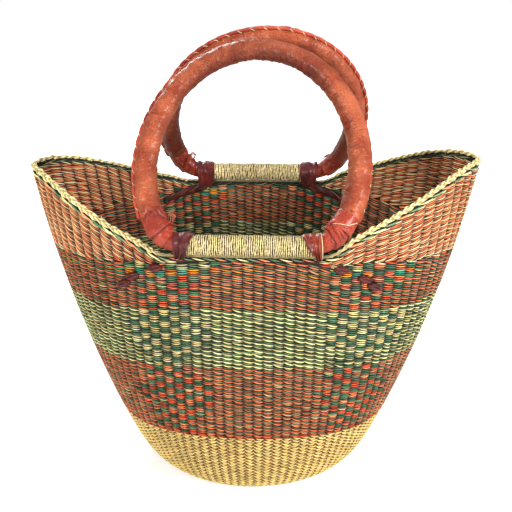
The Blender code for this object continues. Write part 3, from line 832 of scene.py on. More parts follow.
def wingSites(inner):
    # Rows in the ears run parallel to the rim and end one by one on the straight row.
    numbers = np.arange(weave["columns"]).astype(float)
    tops = atEdge(clothTop, numbers)
    slopes = atEdge(clothTop, numbers + 0.5) - atEdge(clothTop, numbers - 0.5)
    pitch = weave["wingPitch"]
    most = int((tops.max() - bandTop) / pitch) + 1
    k, j = (axis.ravel() for axis in np.meshgrid(np.arange(weave["columns"]), np.arange(most), indexing="ij"))
    stakes = tops[k] - (j + 0.5) * pitch
    keep = stakes > bandTop + 0.9 * pitch
    k, j, stakes = k[keep], j[keep], stakes[keep]
    colours = np.array([paint["cream"], paint["coral"], paint["brick"]])[j % 3]
    # The wing colours are painted 1.15 times lighter, as painted light.
    rows = wallSites(k.astype(float), stakes, varied(colours * 1.15, 0.17), inner, slopes[k], pitch=pitch)
    rows["size"][:, 1] *= 0.9
    # One straight row closes the ends of the slanting rows.
    last = np.nonzero(tops > bandTop + 1.3 * pitch)[0]
    mixed = np.array([paint["cream"], paint["red"], paint["green"]])[last % 3]
    level = bandTop + 0.4 * pitch + 0 * last
    straight = wallSites(last.astype(float), level, varied(mixed), inner, pitch=pitch)
    return np.concatenate([k, last]), joinSites([rows, straight])


for side, share in (("right", 0.25), ("left", 0.75)):
    middle = weave["columns"] * share
    local = np.arange(-weave["columns"], weave["columns"] + 1) / 4 + middle
    local = local[atEdge(clothTop, local) > bandTop + weave["wingLeast"]]
    top = atEdge(clothTop, local)
    low = bandTop + weave["wingGap"]
    shell = shellObject(side + "_wing_shell", low, top, weave["wingSteps"], redStakes, local)
    for inner in (False, True):
        k, sites = wingSites(inner)
        picked = columnsAway(k, middle) < weave["columns"] / 4
        name = f"{side}_wing_" + ("inside" if inner else "outside")
        made = scatter(name, chosen(sites, picked), wingStitch, twinedStraw, None if inner else shell,
                       weave["jitter"], 11)
        settle([made], "basket", side + "_wing")
print("wings woven")


# The base: rows round the foot, and a flat floor with fewer columns near its centre.
base = {
    "floorStart": 0.004,
    "pitch": 0.0022,
    "bulge": 0.0029,
    "flattened": 0.6,
    "rings": ((0.016, 10), (0.034, 22), (0.068, 45)),
    "footStart": 0.107,
    "jitter": 0.08,
    "shellDepth": 0.0018,
    "shellStakes": (0.01, 0.03, 0.06, 0.09, 0.1, 0.107, 0.115, 0.125, 0.14, 0.16),
}


def baseSites(inner):
    # The floor and the foot are two pieces, so that each stays light.
    parts = {"floor": [], "foot": []}
    stakes = np.arange(base["floorStart"], bowl["lowerBand"] - 0.3 * base["pitch"], base["pitch"])
    for row, stake in enumerate(stakes):
        count = weave["columns"]
        for limit, fewer in reversed(base["rings"]):
            if stake < limit:
                count = fewer
        turns = (np.arange(count) + 0.25 * (row % 2)) * weave["columns"] / count
        colours = varied(np.tile(paint["base"], (count, 1)), 0.13)
        sites = wallSites(turns, stake + 0 * turns, colours, inner, bulge=base["bulge"], pitch=base["pitch"])
        sites["size"][:, 0] *= weave["columns"] / count
        if count < weave["columns"]:
            sites["size"][:, 2] *= base["flattened"]
        parts["floor" if stake < base["footStart"] else "foot"].append(sites)
    return {part: joinSites(rows) for part, rows in parts.items()}


def baseShell():
    # The stakes of the floor and the foot: a cup whose two floors are closed by discs.
    columns = np.arange(weave["columns"] * 2) / 2
    count = len(columns)
    stakes = np.append(base["shellStakes"], bowl["lowerBand"])[:, None]
    outer = onWall(columns, stakes, base["shellDepth"])
    innerSide = onWall(columns, stakes, bowl["thickness"] - base["shellDepth"])
    points = np.concatenate([outer[::-1], innerSide]).reshape(-1, 3)
    outerRing = (len(stakes) - 1) * count
    innerRing = len(stakes) * count
    innerLip = len(points) - count
    centre = len(points)
    centres = [[0, 0, base["shellDepth"]], [0, 0, bowl["thickness"] - base["shellDepth"]]]
    points = np.concatenate([points, centres])
    faces = gridFaces(2 * len(stakes), count, closeColumns=True)
    faces = [face for face in faces if not outerRing <= face[0] < innerRing]
    steps = [(i, (i + 1) % count) for i in range(count)]
    faces += [[centre, outerRing + i, outerRing + after] for i, after in steps]
    faces += [[centre + 1, innerRing + after, innerRing + i] for i, after in steps]
    faces += [[i, after, innerLip + after, innerLip + i] for i, after in steps]
    # Its brown material is painted shade in the gaps.
    return makeObject("base_shell", points, outward(points, faces), [paleStakes])


baseBack = baseShell()
for inner in (False, True):
    side = "inside" if inner else "outside"
    for part, sites in baseSites(inner).items():
        shell = baseBack if part == "foot" and not inner else None
        made = scatter(f"base_weave_{part}_{side}", sites, flatStitch, baseStraw, shell, base["jitter"], 21)
        settle([made], "basket", "base_weave")
print("base woven")


# The rim: a green twined row and a plaited roll of cream straw.
def rimFrame(column):
    # The middle of the border, its upward and inward directions, and how full it is.
    angle = columnAngle(column, atEdge(rimTop, column))
    top = rimTop(angle)
    low = borderLow(angle)
    half = bowl["thickness"] / 2
    middle = wallPoint(angle, (top + low) / 2, half)
    up = unit(wallPoint(angle, top, half) - wallPoint(angle, low, half))
    inward = unit(wallPoint(angle, (top + low) / 2, half + 0.001) - middle)
    return middle, up, inward, (top - low) / rim["borderHeight"]


# Where the bars press the border thin, it keeps its least fullness, lies a little higher and is painted
# darker, as painted shade under the bars.
plait = {
    "periods": 52,
    "across": 0.0018,
    "weaveDepth": 0.0010,
    "straws": 5,
    "strandRadius": 0.00088,
    "strawRadius": 0.00044,
    "strawSides": 5,
    "stray": 0.0009,
    "stepsPerColumn": 11,
    "tiltDeg": 38,
    "leastFull": 0.58,
    "raised": 0.0010,
    "core": (0.0026, 0.0014),
    "stubs": 60,
    "stubLength": (0.0026, 0.0054),
    "stubRadii": (0.0005, 0.0004),
}
border = Batch()
columns = np.linspace(0, weave["columns"], weave["columns"] * plait["stepsPerColumn"] + 1)
middle, up, inward, full = rimFrame(columns)
pressed = 1 - smooth(full, 0.4, 0.5)
full = np.maximum(full, plait["leastFull"])
middle = middle + up * (plait["raised"] * pressed)[:, None]
knob = 1 + 0.22 * np.cos(2 * pi * columns) + 0.34 * (noise(middle, 0.0055, 73) - 0.5)
full = (full * np.where(pressed > 0.5, 1, knob))[:, None]
tilt = radians(plait["tiltDeg"])
flat = inward * cos(tilt) + up * sin(tilt)
proud = up * cos(tilt) - inward * sin(tilt)
paths = []
for strand in range(3):
    phase = 2 * pi * (columns / weave["columns"] * plait["periods"] + strand / 3)
    swing = (np.sin(phase) * plait["across"])[:, None]
    depth = (np.sin(2 * phase) * plait["weaveDepth"])[:, None]
    centre = middle + full * (flat * swing + proud * depth)
    for straw in range(plait["straws"]):
        twist = (phase * 0.7 + straw * 2 * pi / plait["straws"])[:, None]
        path = centre + full * plait["strandRadius"] * (flat * np.cos(twist) + proud * np.sin(twist))
        path += full * plait["stray"] * (noise(path, 0.003, 75 + straw)[:, None] - 0.5) * proud
        paths.append(path)
radius = plait["strawRadius"] * full[:, 0]
points, faces, places = tubes(paths, proud, radius, radius, plait["strawSides"])
# Painted shade under the bars.
paintedShadeUnderBar = np.tile(np.repeat(pressed, plait["strawSides"]), len(paths))[:, None]
tones = (noise(points, 0.0025, 71)[:, None] * 0.7 + 0.55) * (1 - 0.6 * paintedShadeUnderBar)
border.add(points, faces, places, paint["cream"] * tones, 0.15)
wide, thick = plait["core"]
core = [middle + full * (flat * np.cos(spin) * wide + proud * np.sin(spin) * thick) for spin in ringTurns(8)]
corePoints = np.stack(core)[:, :-1].reshape(-1, 3)
coreFaces = gridFaces(8, len(columns) - 1, closeRows=True, closeColumns=True)
# The core shows between the straws in a darker gold, as painted shade.
border.add(corePoints, outward(corePoints, coreFaces), corePoints * 1000, paint["gold"] * 0.6, 0.5)

# Stake ends stick out of the plait here and there.
count = plait["stubs"]
middle, up, inward, full = rimFrame(np.sort(chance.uniform(0, weave["columns"], count)))
lean = chance.normal(size=(count, 2)) * 0.8
direction = unit(up + inward * lean[:, :1] + unit(np.cross(up, inward)) * lean[:, 1:] * 1.6)
lengths = chance.uniform(*plait["stubLength"], count)[:, None] * full[:, None]
paths = np.stack([middle + direction * lengths * share for share in (0.2, 0.6, 1.0)], axis=1)
points, faces, places = tubes(paths, inward[:, None], *plait["stubRadii"], 5)
border.add(points, faces, places, paint["cream"] * 0.95, 0.2)
settle([border.build("rim_border_plait", [plaitedStraw])], "basket", "rim_border")


# Slanted passes of twine lie under the border, but not at the very tips of the ears.
dash = {
    "reach": 1.16,
    "slant": 0.0026,
    "raised": 0.0003,
    "halfThick": 0.0006,
    "outerShare": 0.58,
    "innerShare": 0.4,
    "bareTip": 0.985,
    "steps": 7,
    "sides": 6,
    "coreLap": 0.0012,
}


def addDashes(batch, inner):
    numbers = np.arange(weave["columns"])
    tip = np.abs(np.cos(columnAngle(numbers + 0.5, bowl["rightEar"])))
    numbers = numbers[tip <= dash["bareTip"]]
    share = np.linspace(0, 1, dash["steps"])
    column = numbers[:, None] + 0.5 + dash["reach"] * (share - 0.5)
    angle = columnAngle(column, atEdge(borderLow, column))
    stake = borderLow(angle) - rim["gap"] - swell(angle, rim["twinePressed"], rim["twineHeight"]) / 2
    stake = stake + (0.5 - share) * dash["slant"] + dash["raised"]
    lift = np.sin(share * pi)
    depth = -0.0004 - 0.0006 * lift + 0.0012 * (1 - lift)
    tints = np.array([paint[name] for name in ("greyGreen", "coral", "green", "natural")])
    # Inside, the dashes are darker greens, as painted shade.
    if inner:
        depth = bowl["thickness"] - depth
        tints = np.array([paint["greenShade"] * 3, paint["green"] * 0.5])
    angle = columnAngle(column, stake)
    path = wallPoint(angle, stake, depth)
    normals = unit(path - wallPoint(angle, stake, depth + (-0.001 if inner else 0.001)))
    full = swell(angle, rim["twinePressed"], rim["twineHeight"])
    wide = full * dash["innerShare" if inner else "outerShare"] * (0.15 + 0.85 * lift)
    points, faces, places = tubes(path, normals, wide, dash["halfThick"], dash["sides"])
    colours = varied(tints[numbers % len(tints)], 0.15)
    batch.add(points, faces, places, np.repeat(colours, dash["steps"] * dash["sides"], axis=0))


twine = Batch()
for inner in (False, True):
    addDashes(twine, inner)
ringTop = (atEdge(rimTop, allColumns) + atEdge(borderLow, allColumns)) / 2
# A dark green core behind the dashes, painted shade between them.
ringShell = shellObject("rim_twine_core", clothEdge - dash["coreLap"], ringTop, 2, greenStakes)
rimDashes = twine.build("rim_twine_dashes", [twinedStraw])
settle([ringShell, rimDashes], "basket", "rim_twine")
print("rim plaited")


# Hoop handles, built flat and then leant on the bar axis.
hoop = {
    "barHalf": 0.058,
    "cornerRadius": 0.035,
    "cornerTurn": 64.0,
    "halfWidth": 0.1032,
    "height": 0.2025,
    "coreRadius": 0.0076,
    "bore": 0.0078,
    "sleeveRadius": 0.0105,
    "barY": 0.126064,
    "barZ": 0.283978,
}
# What differs between the two hoops. Facing is 1 for the hoop whose own X is the basket's X.
handles = {
    "front": {
        "facing": 1,
        "top": 0.0085,
        "skew": 0.035,
        "thicker": 0.05,
        "creaseSeed": 31,
        "hollowShade": 0.5,
        "lowShade": 0.0,
        "weltTurn": 26.0,
        "wrapPhase": 0.3,
        "wrapSeed": 49,
        "wrapShade": (0.8, 0.0),
        "reach": (0.0585, 0.0605),
    },
    "rear": {
        "facing": -1,
        "top": 0.0218,
        "skew": -0.08,
        "thicker": -0.03,
        "creaseSeed": 37,
        "hollowShade": 0.7,
        "lowShade": 0.9,
        "weltTurn": 7.8,
        "wrapPhase": 0.75,
        "wrapSeed": 47,
        "wrapShade": (1.0, 0.42),
        "reach": (0.0545, 0.0545),
    },
}
cornerTurn = radians(hoop["cornerTurn"])
cornerX = hoop["barHalf"] + hoop["cornerRadius"] * sin(cornerTurn)
cornerZ = hoop["cornerRadius"] * (1 - cos(cornerTurn))
sideRadius = (hoop["halfWidth"] - cornerX) / (1 - sin(cornerTurn))
widestZ = cornerZ + sideRadius * cos(cornerTurn)
across = np.array([0.0, 1.0, 0.0])


def hoopPoint(turnDeg):
    turn = radians(turnDeg)
    if turnDeg <= hoop["cornerTurn"]:
        return hoop["barHalf"] + hoop["cornerRadius"] * sin(turn), hoop["cornerRadius"] * (1 - cos(turn))
    if turnDeg <= 90:
        beyond = sideRadius * (sin(turn) - sin(cornerTurn))
        return cornerX + beyond, cornerZ + sideRadius * (cos(cornerTurn) - cos(turn))
    arc = turn - radians(90)
    return hoop["halfWidth"] * cos(arc), widestZ + (hoop["height"] - widestZ) * sin(arc)


def hoopPath(turns, side=0):
    # A side of 0 runs from the right foot over the top to the left foot.
    # A side of 1 or -1 stays on that side.
    path = np.array([hoopPoint(t) for t in turns])
    if side:
        path = path * np.array([side, 1])
    else:
        path = np.concatenate([path, path[::-1][1:] * np.array([-1, 1])])
    return np.stack([path[:, 0], 0 * path[:, 0], path[:, 1]], axis=1)


def toRow(points, tag):
    # From a hoop's own frame to the standing basket.
    own = handles[tag]
    x, y, z = np.moveaxis(np.array(points, float), -1, 0)
    x = x + own["skew"] * z
    lean = asin((hoop["barY"] - own["top"]) / hoop["height"])
    level = y * cos(lean) + z * sin(lean) - hoop["barY"]
    height = -y * sin(lean) + z * cos(lean) + hoop["barZ"]
    return np.stack([x * own["facing"], level * own["facing"], height], axis=-1)


def toRowWith(points, directions, tag):
    standing = toRow(points, tag)
    return standing, toRow(points + directions, tag) - standing


def awayFrom(path):
    # Directions in the plane of the hoop, square to its path and away from its middle.
    tangent = unit(np.gradient(path, axis=0))
    return np.stack([tangent[:, 2], 0 * tangent[:, 0], -tangent[:, 0]], axis=1)


def sweepSkin(path, radii, tag):
    # A closed leather skin with one radius for every ring and side. Returns its points and faces.
    sides = radii.shape[1]
    turns = ringTurns(sides)[:, None]
    ring = awayFrom(path)[:, None] * np.cos(turns) + across * np.sin(turns)
    outer = path[:, None] + ring * radii[..., None]
    bore = path[:, None] + ring * hoop["bore"]
    points = toRow(np.concatenate([outer, bore[::-1]]).reshape(-1, 3), tag)
    return points, outward(points, gridFaces(2 * len(path), sides, closeRows=True, closeColumns=True))


def bothSkins(values):
    # Values of the outer skin, and again in the order of the inner skin.
    return np.concatenate([values, values[::-1]])


def skinPlaces(path, sides):
    # Metres along the path, and across its ring: the frame that creases are laid out in.
    arc = arcLength(path)[:, None]
    x = np.cos(ringTurns(sides)) * hoop["sleeveRadius"]
    y = np.sin(ringTurns(sides)) * hoop["sleeveRadius"]
    return np.stack(np.broadcast_arrays(arc, x, y), axis=-1)


# The sleeve is thicker near the wraps. Its girth is given at turns along the hoop.
sleeve = {
    "turns": (40, 180),
    "steps": 210,
    "sides": 36,
    "girthTurns": (40, 60, 68, 76, 100, 180),
    "girth": (0.0083, 0.0090, 0.0104, 0.0111, 0.0106, 0.0103),
    "creases": 0.00143,
    "creaseScale": (520, 190, 190),
}


def buildSleeve(tag):
    own = handles[tag]
    turnDegs = np.linspace(*sleeve["turns"], sleeve["steps"])
    path = hoopPath(turnDegs)
    girth = np.interp(np.concatenate([turnDegs, turnDegs[::-1][1:]]), sleeve["girthTurns"], sleeve["girth"])
    girth = girth * (1 + own["thicker"] * smooth(path[:, 0], 0.03, 0.05))
    # Creases run across the tube, deepest on the inner side of the bend where the leather is bunched.
    grid = skinPlaces(path, sleeve["sides"])
    folds = noise(grid * np.array([2.0, 1, 1]), 0.008, own["creaseSeed"]) - 0.5
    bunched = 0.5 - np.abs(noise(grid * np.array([2.2, 0.7, 0.7]), 0.0055, own["creaseSeed"] + 3) - 0.5) * 2
    facing = np.cos(ringTurns(sleeve["sides"]))
    radii = girth[:, None] + sleeve["creases"] * (folds + bunched * (0.55 - 0.45 * facing))
    points, faces = sweepSkin(path, radii, tag)
    # Painted shade: the inner side of the hoop and the top of the loop are darker, and on the rear hoop the
    # lower part too.
    inside = 0.5 - 0.5 * facing
    paintedTopShade = smooth(path[:, 2] / hoop["height"], 0.72, 0.24)[:, None]
    low = 1 - smooth(path[:, 2] / hoop["height"], 0.22, 0.35)[:, None]
    shade = inside ** 1.6 * own["hollowShade"] + paintedTopShade * (0.18 + 0.5 * inside) + own["lowShade"] * low
    shade = bothSkins(shade).ravel() * (0.6 + 0.8 * noise(points, 0.012, 33))
    strained = bothSkins(grid * np.array(sleeve["creaseScale"])).reshape(-1, 3)
    dress(tag + "_sleeve_leather", points, faces, coralLeather, tag + "_handle", tag + "_handle_sleeve",
          "coral_leather", leatherShade=shade, leatherPlace=strained)


# The welt is a folded strip along the outer edge. A cream stitch draws it in at even steps, and each stitch
# pass has four points that lead along the strip, stand out from the sleeve and lie aside from the middle.
welt = {
    "turns": (68.6, 180),
    "steps": 260,
    "stitchStep": 0.0118,
    "height": 0.0035,
    "halfWidth": 0.0012,
    "outline": ((0, -1), (0.45, -1.1), (0.85, -0.75), (1, 0), (0.85, 0.75), (0.45, 1.1), (0, 1)),
    "lead": (0.0024, 0.0010, -0.0006, -0.0016),
    "stand": (-0.0004, 0.0012, 0.0022, 0.0025),
    "aside": (0.0018, 0.0016, 0.0012, 0.0002),
    "threadRadii": (0.00042, 0.00035),
}


def buildWelt(tag):
    own = handles[tag]
    path = hoopPath(np.linspace(*welt["turns"], welt["steps"]))
    arc = arcLength(path)
    draw = np.abs(np.sin(arc / welt["stitchStep"] * pi)) ** 0.35
    low = hoop["sleeveRadius"] + 0.0001
    turned = np.radians(own["weltTurn"] * smooth(path[:, 0] * own["facing"], -0.09, 0.11))[:, None]
    straight = awayFrom(path)
    square = across * np.cos(turned) - straight * np.sin(turned)
    away = straight * np.cos(turned) + across * np.sin(turned)
    rows = []
    for a, b in welt["outline"]:
        high = low + welt["height"] * a * (0.62 + 0.38 * draw)
        half = b * welt["halfWidth"] * (0.8 + 0.35 * draw)
        rows.append(path + away * high[:, None] + square * half[:, None])
    points = toRow(np.stack(rows, axis=1).reshape(-1, 3), tag)
    corners = len(welt["outline"])
    faces = gridFaces(len(path), corners, closeColumns=True)
    faces += [list(range(corners)), [len(points) - 1 - i for i in range(corners)]]
    dress(tag + "_welt_leather", points, outward(points, faces), weltLeather, tag + "_handle",
          tag + "_handle_welt", "red_welt_leather")

    # Two thread passes slant over the strip at each draw.
    stops = np.arange(welt["stitchStep"], arc[-1] - 0.002, welt["stitchStep"])
    where = stops[:, None] + np.array(welt["lead"])
    at, out, flank = (interpAlong(where, arc, values)[:, None] for values in (path, away, square))
    out = unit(out)
    flank = unit(flank) * np.array([-1, 1])[:, None, None]
    here = at + out * (low + np.array(welt["stand"]))[:, None] + flank * np.array(welt["aside"])[:, None]
    paths, normals = toRowWith(here, unit(out * 0.4 + flank), tag)
    points, faces, places = tubes(paths.reshape(-1, 4, 3), normals.reshape(-1, 4, 3), *welt["threadRadii"], 5)
    dress(tag + "_welt_thread", points, faces, creamThread, tag + "_handle")


# A wrap is crumpled leather bound over the join. Radius and bulge are given at stops along the hoop, and the
# scales of a corner change them both.
wrap = {
    "start": 17,
    "end": 70,
    "steps": 96,
    "sides": 60,
    "stops": (17, 30, 40, 47, 62, 70),
    "radii": (0.0082, 0.0088, 0.0098, 0.0103, 0.0107, 0.0111),
    "bulge": (0.0000, 0.0012, 0.0032, 0.0036, 0.0024, 0.0004),
    "scales": {
        "front_right": (1.0, 1.0),
        "front_left": (1.0, 1.0),
        "rear_right": (0.9, 0.5),
        "rear_left": (0.88, 0.4),
    },
    "layers": 2.7,
    "layerHeight": 0.0017,
    "seamDepth": 0.0009,
    "pullDepth": 0.0009,
    "wobble": 0.0014,
}


def wrapRadius(turnDeg, phi, corner):
    # The leather is bound thicker on the inside of each corner.
    size, inner = wrap["scales"][corner]
    inner = inner * (0.5 - 0.5 * np.cos(phi)) ** 1.3
    base = np.interp(turnDeg, wrap["stops"], wrap["radii"]) * size
    bulge = np.interp(turnDeg, wrap["stops"], wrap["bulge"])
    return np.maximum(base, hoop["coreRadius"] + 0.0006) + bulge * inner


def onWrap(turnDeg, phiDeg, lift, local, corner):
    # A point over a wrap: turn along the hoop and angle round it, where 0 is outward and 270 faces the front.
    x, z = hoopPoint(turnDeg)
    ahead = unit(np.subtract(hoopPoint(turnDeg + 0.5), hoopPoint(turnDeg - 0.5)))
    phi = radians(phiDeg)
    ring = np.array([ahead[1] * cos(phi), sin(phi), -ahead[0] * cos(phi)])
    point = np.array([x, 0, z]) + ring * (wrapRadius(turnDeg, phi, corner) + lift)
    return point * np.array([local, 1, 1])


def fold(batch, stops, local, corner, width, height, shade, raised=0.0):
    # A rounded fold or thread that follows stops of (turn, angle, lift) over a wrap.
    stops = np.array(stops, float)
    last = len(stops) - 1
    fine = np.linspace(0, last, 6 * len(stops))
    spots = [[np.interp(at, np.arange(last + 1), stops[:, i]) for i in range(3)] for at in fine]
    path, over = (np.array([onWrap(turn, angle, lift + raised + more, local, corner)
                            for turn, angle, lift in spots]) for more in (0, 0.002))
    path = eased(path, 3)
    taper = np.interp(fine, (0, last * 0.5, last), width)
    standing, normal = toRowWith(path, over - path, corner.split("_")[0])
    made, faces, places = tubes(standing[None], normal[None], taper, taper * height, 10)
    batch.add(made, faces, places, (shade, shade, shade))


def buildKnot(tag, side, local):
    # The loose end is tucked through itself: a loop on one side, a fan of folds from a slit on the other.
    corner = f"{tag}_{side}"
    folds = Batch()
    edges = Batch()
    if side == "left":
        loop = ((50, 178, -0.002), (53, 184, 0.0035), (58, 190, 0.0065), (65, 188, 0.0060), (66, 178, 0.0030),
                (60, 172, 0.0010), (54, 172, -0.002))
        fold(folds, loop, local, corner, (0.0014, 0.0019, 0.0010), 0.5, 0.1)
        for raised in (-0.0008, 0.0009):
            fold(edges, loop, local, corner, (0.0003, 0.0004, 0.0003), 1.0, 0, raised)
    else:
        for turn, angle, wide in ((63, 318, 0.0014), (57, 322, 0.0015), (50, 326, 0.0016), (43, 322, 0.0014)):
            ridge = ((51, 226, -0.0006), ((51 + turn) / 2 + 1, 262, 0.0007), (turn, angle, -0.0006))
            fold(folds, ridge, local, corner, (0.0004, wide * 1.15, wide * 0.7), 0.7, 0.12, 0.0010)
        lip = ((44, 206, 0.0), (50, 214, 0.0009), (58, 214, 0.0008), (62, 228, 0.0))
        fold(folds, lip, local, corner, (0.0007, 0.0017, 0.0008), 0.6, 0.05, 0.0008)
        # The slit is painted dark, as painted shade in its hole.
        slit = ((49, 219, 0.0001), (51, 221, 0.0002), (54, 223, 0.0001))
        fold(folds, slit, local, corner, (0.0006, 0.0015, 0.0007), 0.35, 1.4, 0.0010)
        thread = ((54, 228, 0.0010), (60, 262, 0.0022), (65, 300, 0.0016), (67, 330, 0.0010))
        fold(edges, thread, local, corner, (0.0004, 0.0004, 0.0004), 1.0, 0)
    # Each fold's painted shade, carried in the batch's colours.
    depth = np.concatenate(folds.colours)[:, 0]
    dress(corner + "_wrap_knot", np.concatenate(folds.points), folds.faces, wrapLeather, tag + "_handle",
          leatherShade=depth)
    dress(corner + "_wrap_thread", np.concatenate(edges.points), edges.faces, creamThread, tag + "_handle")


def buildWrap(tag, side, sign):
    own = handles[tag]
    corner = f"{tag}_{side}"
    local = sign * own["facing"]
    # On its own left side the hoop is followed downwards, so that the ring still starts away from its middle.
    order = slice(None, None, local)
    turnDegs = np.linspace(wrap["start"], wrap["end"], wrap["steps"])
    path = hoopPath(turnDegs, local)[order]
    turnDegs = turnDegs[order]
    phis = ringTurns(wrap["sides"])
    grid = skinPlaces(path, wrap["sides"])
    share = ((turnDegs - wrap["start"]) / (wrap["end"] - wrap["start"]))[:, None]
    wobble = noise(grid, 0.014, own["wrapSeed"] + sign) - 0.5
    phase = sign * phis / (2 * pi) + share * wrap["layers"] + wobble * 0.8 + own["wrapPhase"]
    layer = phase - np.floor(phase)
    seam = np.exp(-(np.minimum(layer, 1 - layer) / 0.045) ** 2)
    pulls = 0.5 - np.abs(noise(grid * np.array([0.8, 1.2, 1.2]), 0.005, 53 + sign) - 0.5) * 2
    relief = wrap["layerHeight"] * (0.6 - layer) - wrap["seamDepth"] * seam
    relief = relief + wrap["pullDepth"] * pulls + wrap["wobble"] * wobble
    radii = wrapRadius(turnDegs[:, None], phis, corner) + smooth(share, 0.16, 0.3) * relief
    points, faces = sweepSkin(path, np.maximum(radii, hoop["coreRadius"] + 0.0005), tag)
    # Painted shade in the seams between layers, in the hollows of the pulls and where each layer lies lowest,
    # and the rear wraps are painted darker all over as shade.
    shade = np.clip(seam * 0.9 + np.maximum(-pulls, 0) * 0.8 + 0.3 * np.maximum(layer - 0.5, 0), 0, 1)
    shade = bothSkins(shade).ravel() * own["wrapShade"][0] + own["wrapShade"][1]
    dress(corner + "_wrap_leather", points, faces, wrapLeather, tag + "_handle", corner + "_wrap",
          "wrap_leather", leatherShade=shade)
    buildKnot(tag, side, local)


# Two thin strands twisted together and wound round the bar, over a dark bed that is painted shade between the
# turns.
winding = {
    "turns": 58,
    "stepsPerTurn": 56,
    "radius": 0.00945,
    "plyRadius": 0.00036,
    "plyTwist": 7.37,
    "plySway": 0.0004,
    "slack": 0.0007,
    "shiver": 0.0014,
    "cordRadii": (0.00042, 0.00046),
    "cordSides": 5,
    "bedRadius": 0.0088,
    "tint": "EBD79C",
}


def buildWinding(tag):
    left, right = handles[tag]["reach"]
    turns = winding["turns"]
    t = np.linspace(0, turns, turns * winding["stepsPerTurn"] + 1)
    outDir = np.stack([0 * t, np.cos(2 * pi * t), np.sin(2 * pi * t)], axis=1)
    where = np.stack([t * 0.004, outDir[:, 1] * 0.009, outDir[:, 2] * 0.009], axis=1)
    shiver = noise(where, 0.004, 51) - 0.5
    slack = noise(where, 0.0025, 57) - 0.5
    paths = []
    for ply in (0, 1):
        twist = 2 * pi * (t * winding["plyTwist"] + 1.2 * shiver) + ply * pi
        radius = winding["radius"] + winding["plyRadius"] * np.cos(twist) + winding["slack"] * slack
        x = -left + (left + right) * t / turns
        x = x + winding["plySway"] * np.sin(twist) + winding["shiver"] * shiver
        paths.append(outDir * radius[:, None] + np.stack([x, 0 * x, 0 * x], axis=1))
    standing, normal = toRowWith(np.array(paths), outDir, tag)
    points, faces, places = tubes(standing, normal, *winding["cordRadii"], winding["cordSides"])
    colours = np.array(linear(winding["tint"])) * (0.7 + 0.6 * noise(points, 0.0025, 61)[:, None])
    # One side line of each cord gets a painted highlight, the rest painted shade.
    crown = np.tile(np.arange(winding["cordSides"]) == 1, len(points) // winding["cordSides"])
    cord = Batch()
    cord.add(points, faces, places, colours, np.where(crown, 0.0, 0.85))
    bedLine = np.linspace(-left, right, 12)
    bedLine = toRow(np.stack([bedLine, 0 * bedLine, 0 * bedLine], axis=1), tag)
    bed = tubes(bedLine[None], np.array([0, 0, 1.0]), winding["bedRadius"], winding["bedRadius"], 40)
    # The bed's dark colour is painted shade.
    cord.add(*bed, paint["baseShade"] * 0.35, 0.4)
    made = cord.build(tag + "_straw_winding", [woundStraw])
    settle([made], tag + "_handle", tag + "_binding")


for tag in handles:
    buildSleeve(tag)
    buildWelt(tag)
    buildWrap(tag, "right", 1)
    buildWrap(tag, "left", -1)
    buildWinding(tag)
    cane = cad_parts[tag + "_handle_core"]
    cane.data.materials.clear()
    cane.data.materials.append(bentCane)
print("handles dressed")


# Leather that stays on the wall: cuffs over the bars, thong beans outside and straps inside.
leather = {
    "cuffThickness": 0.0014,
    "cuffSteps": 64,
    "cuffStops": (0.0, 0.12, 0.3, 0.48, 0.66, 0.85, 1.0),
    "cuffRadius": 0.0098,
    "outerDrop": 0.0006,
    "innerDrop": 0.0040,
    "stitches": ((0.0888, 0.0085, 0.0), (0.1125, 0.0190, -0.22), (0.1218, 0.0272, -0.30)),
    "stitchHalf": (0.0080, 0.0043),
    "stitchDepth": 0.0050,
    "strapFrom": (0.0600, 0.0030),
    "strapTo": (0.1090, 0.0140),
}
# Edge lines from the outer end of a cuff, over the bar, to its inner end.
wideCuff = {
    "begin": (0.0620, 0.0590, 0.0545, 0.0505, 0.0496, 0.0515, 0.0540),
    "finish": (0.0690, 0.0698, 0.0704, 0.0702, 0.0698, 0.0692, 0.0680),
    "flare": 0.0006,
    "pleats": 2,
    "lean": 0.35,
    "pleatDepth": 0.0014,
    "shade": 0.85,
    "thread": False,
}
gatheredCuff = {
    "begin": (0.0672, 0.0628, 0.0548, 0.0505, 0.0500, 0.0515, 0.0540),
    "finish": (0.0702, 0.0704, 0.0702, 0.0688, 0.0680, 0.0686, 0.0680),
    "flare": 0.0022,
    "pleats": 3,
    "lean": 0.0,
    "pleatDepth": 0.0011,
    "shade": 0.7,
    "thread": True,
}


def wallAtX(x, stake, depth, side, face):
    # The point of one quarter of the wall at this X, with side and face as signs.
    angle = np.arccos(np.clip(x / np.interp(stake, tableStakes, sideOut), -1, 1))
    return wallPoint(angle, stake, depth) * np.array([side, face, 1.0])


def cuffLine(x, flare):
    # A section of the cuff at this X: up from the wall outside, over the bar and down the inside.
    beyond = max(x - hoop["barHalf"], 0)
    climb = hoop["cornerRadius"] - (hoop["cornerRadius"] ** 2 - beyond ** 2) ** 0.5
    flare = flare * float(smooth(x, 0.058, 0.012))
    raised = 0.0016 * (1 - float(smooth(x, 0.0605, 0.005)))
    outer = leather["outerDrop"]
    low = leather["innerDrop"]
    within = bowl["thickness"]
    outside = ((outer, 0.0012), (outer - 0.001, -0.0022), (-0.0005, -0.0034))
    inside = ((0.0015, 0.0036), (low * 0.6, 0.0026), (low, 0.0014), (low + 0.0012, -0.0010))
    points = [wallAtX(x, bowl["barRim"] - drop, depth, 1, 1) for drop, depth in outside]
    for angle in np.radians(np.linspace(-24, 204, 13)):
        radius = leather["cuffRadius"] + climb + flare * max(sin(angle), 0) ** 2 + raised
        points.append([x, hoop["barY"] + radius * cos(angle), hoop["barZ"] + radius * sin(angle)])
    points += [wallAtX(x, bowl["barRim"] - drop, within + depth, 1, 1) for drop, depth in inside]
    points = np.array(points)
    points[:, 0] = x
    points = eased(points, 2)
    arc = arcLength(points)
    return interpAlong(np.linspace(0, arc[-1], leather["cuffSteps"]), arc, points)


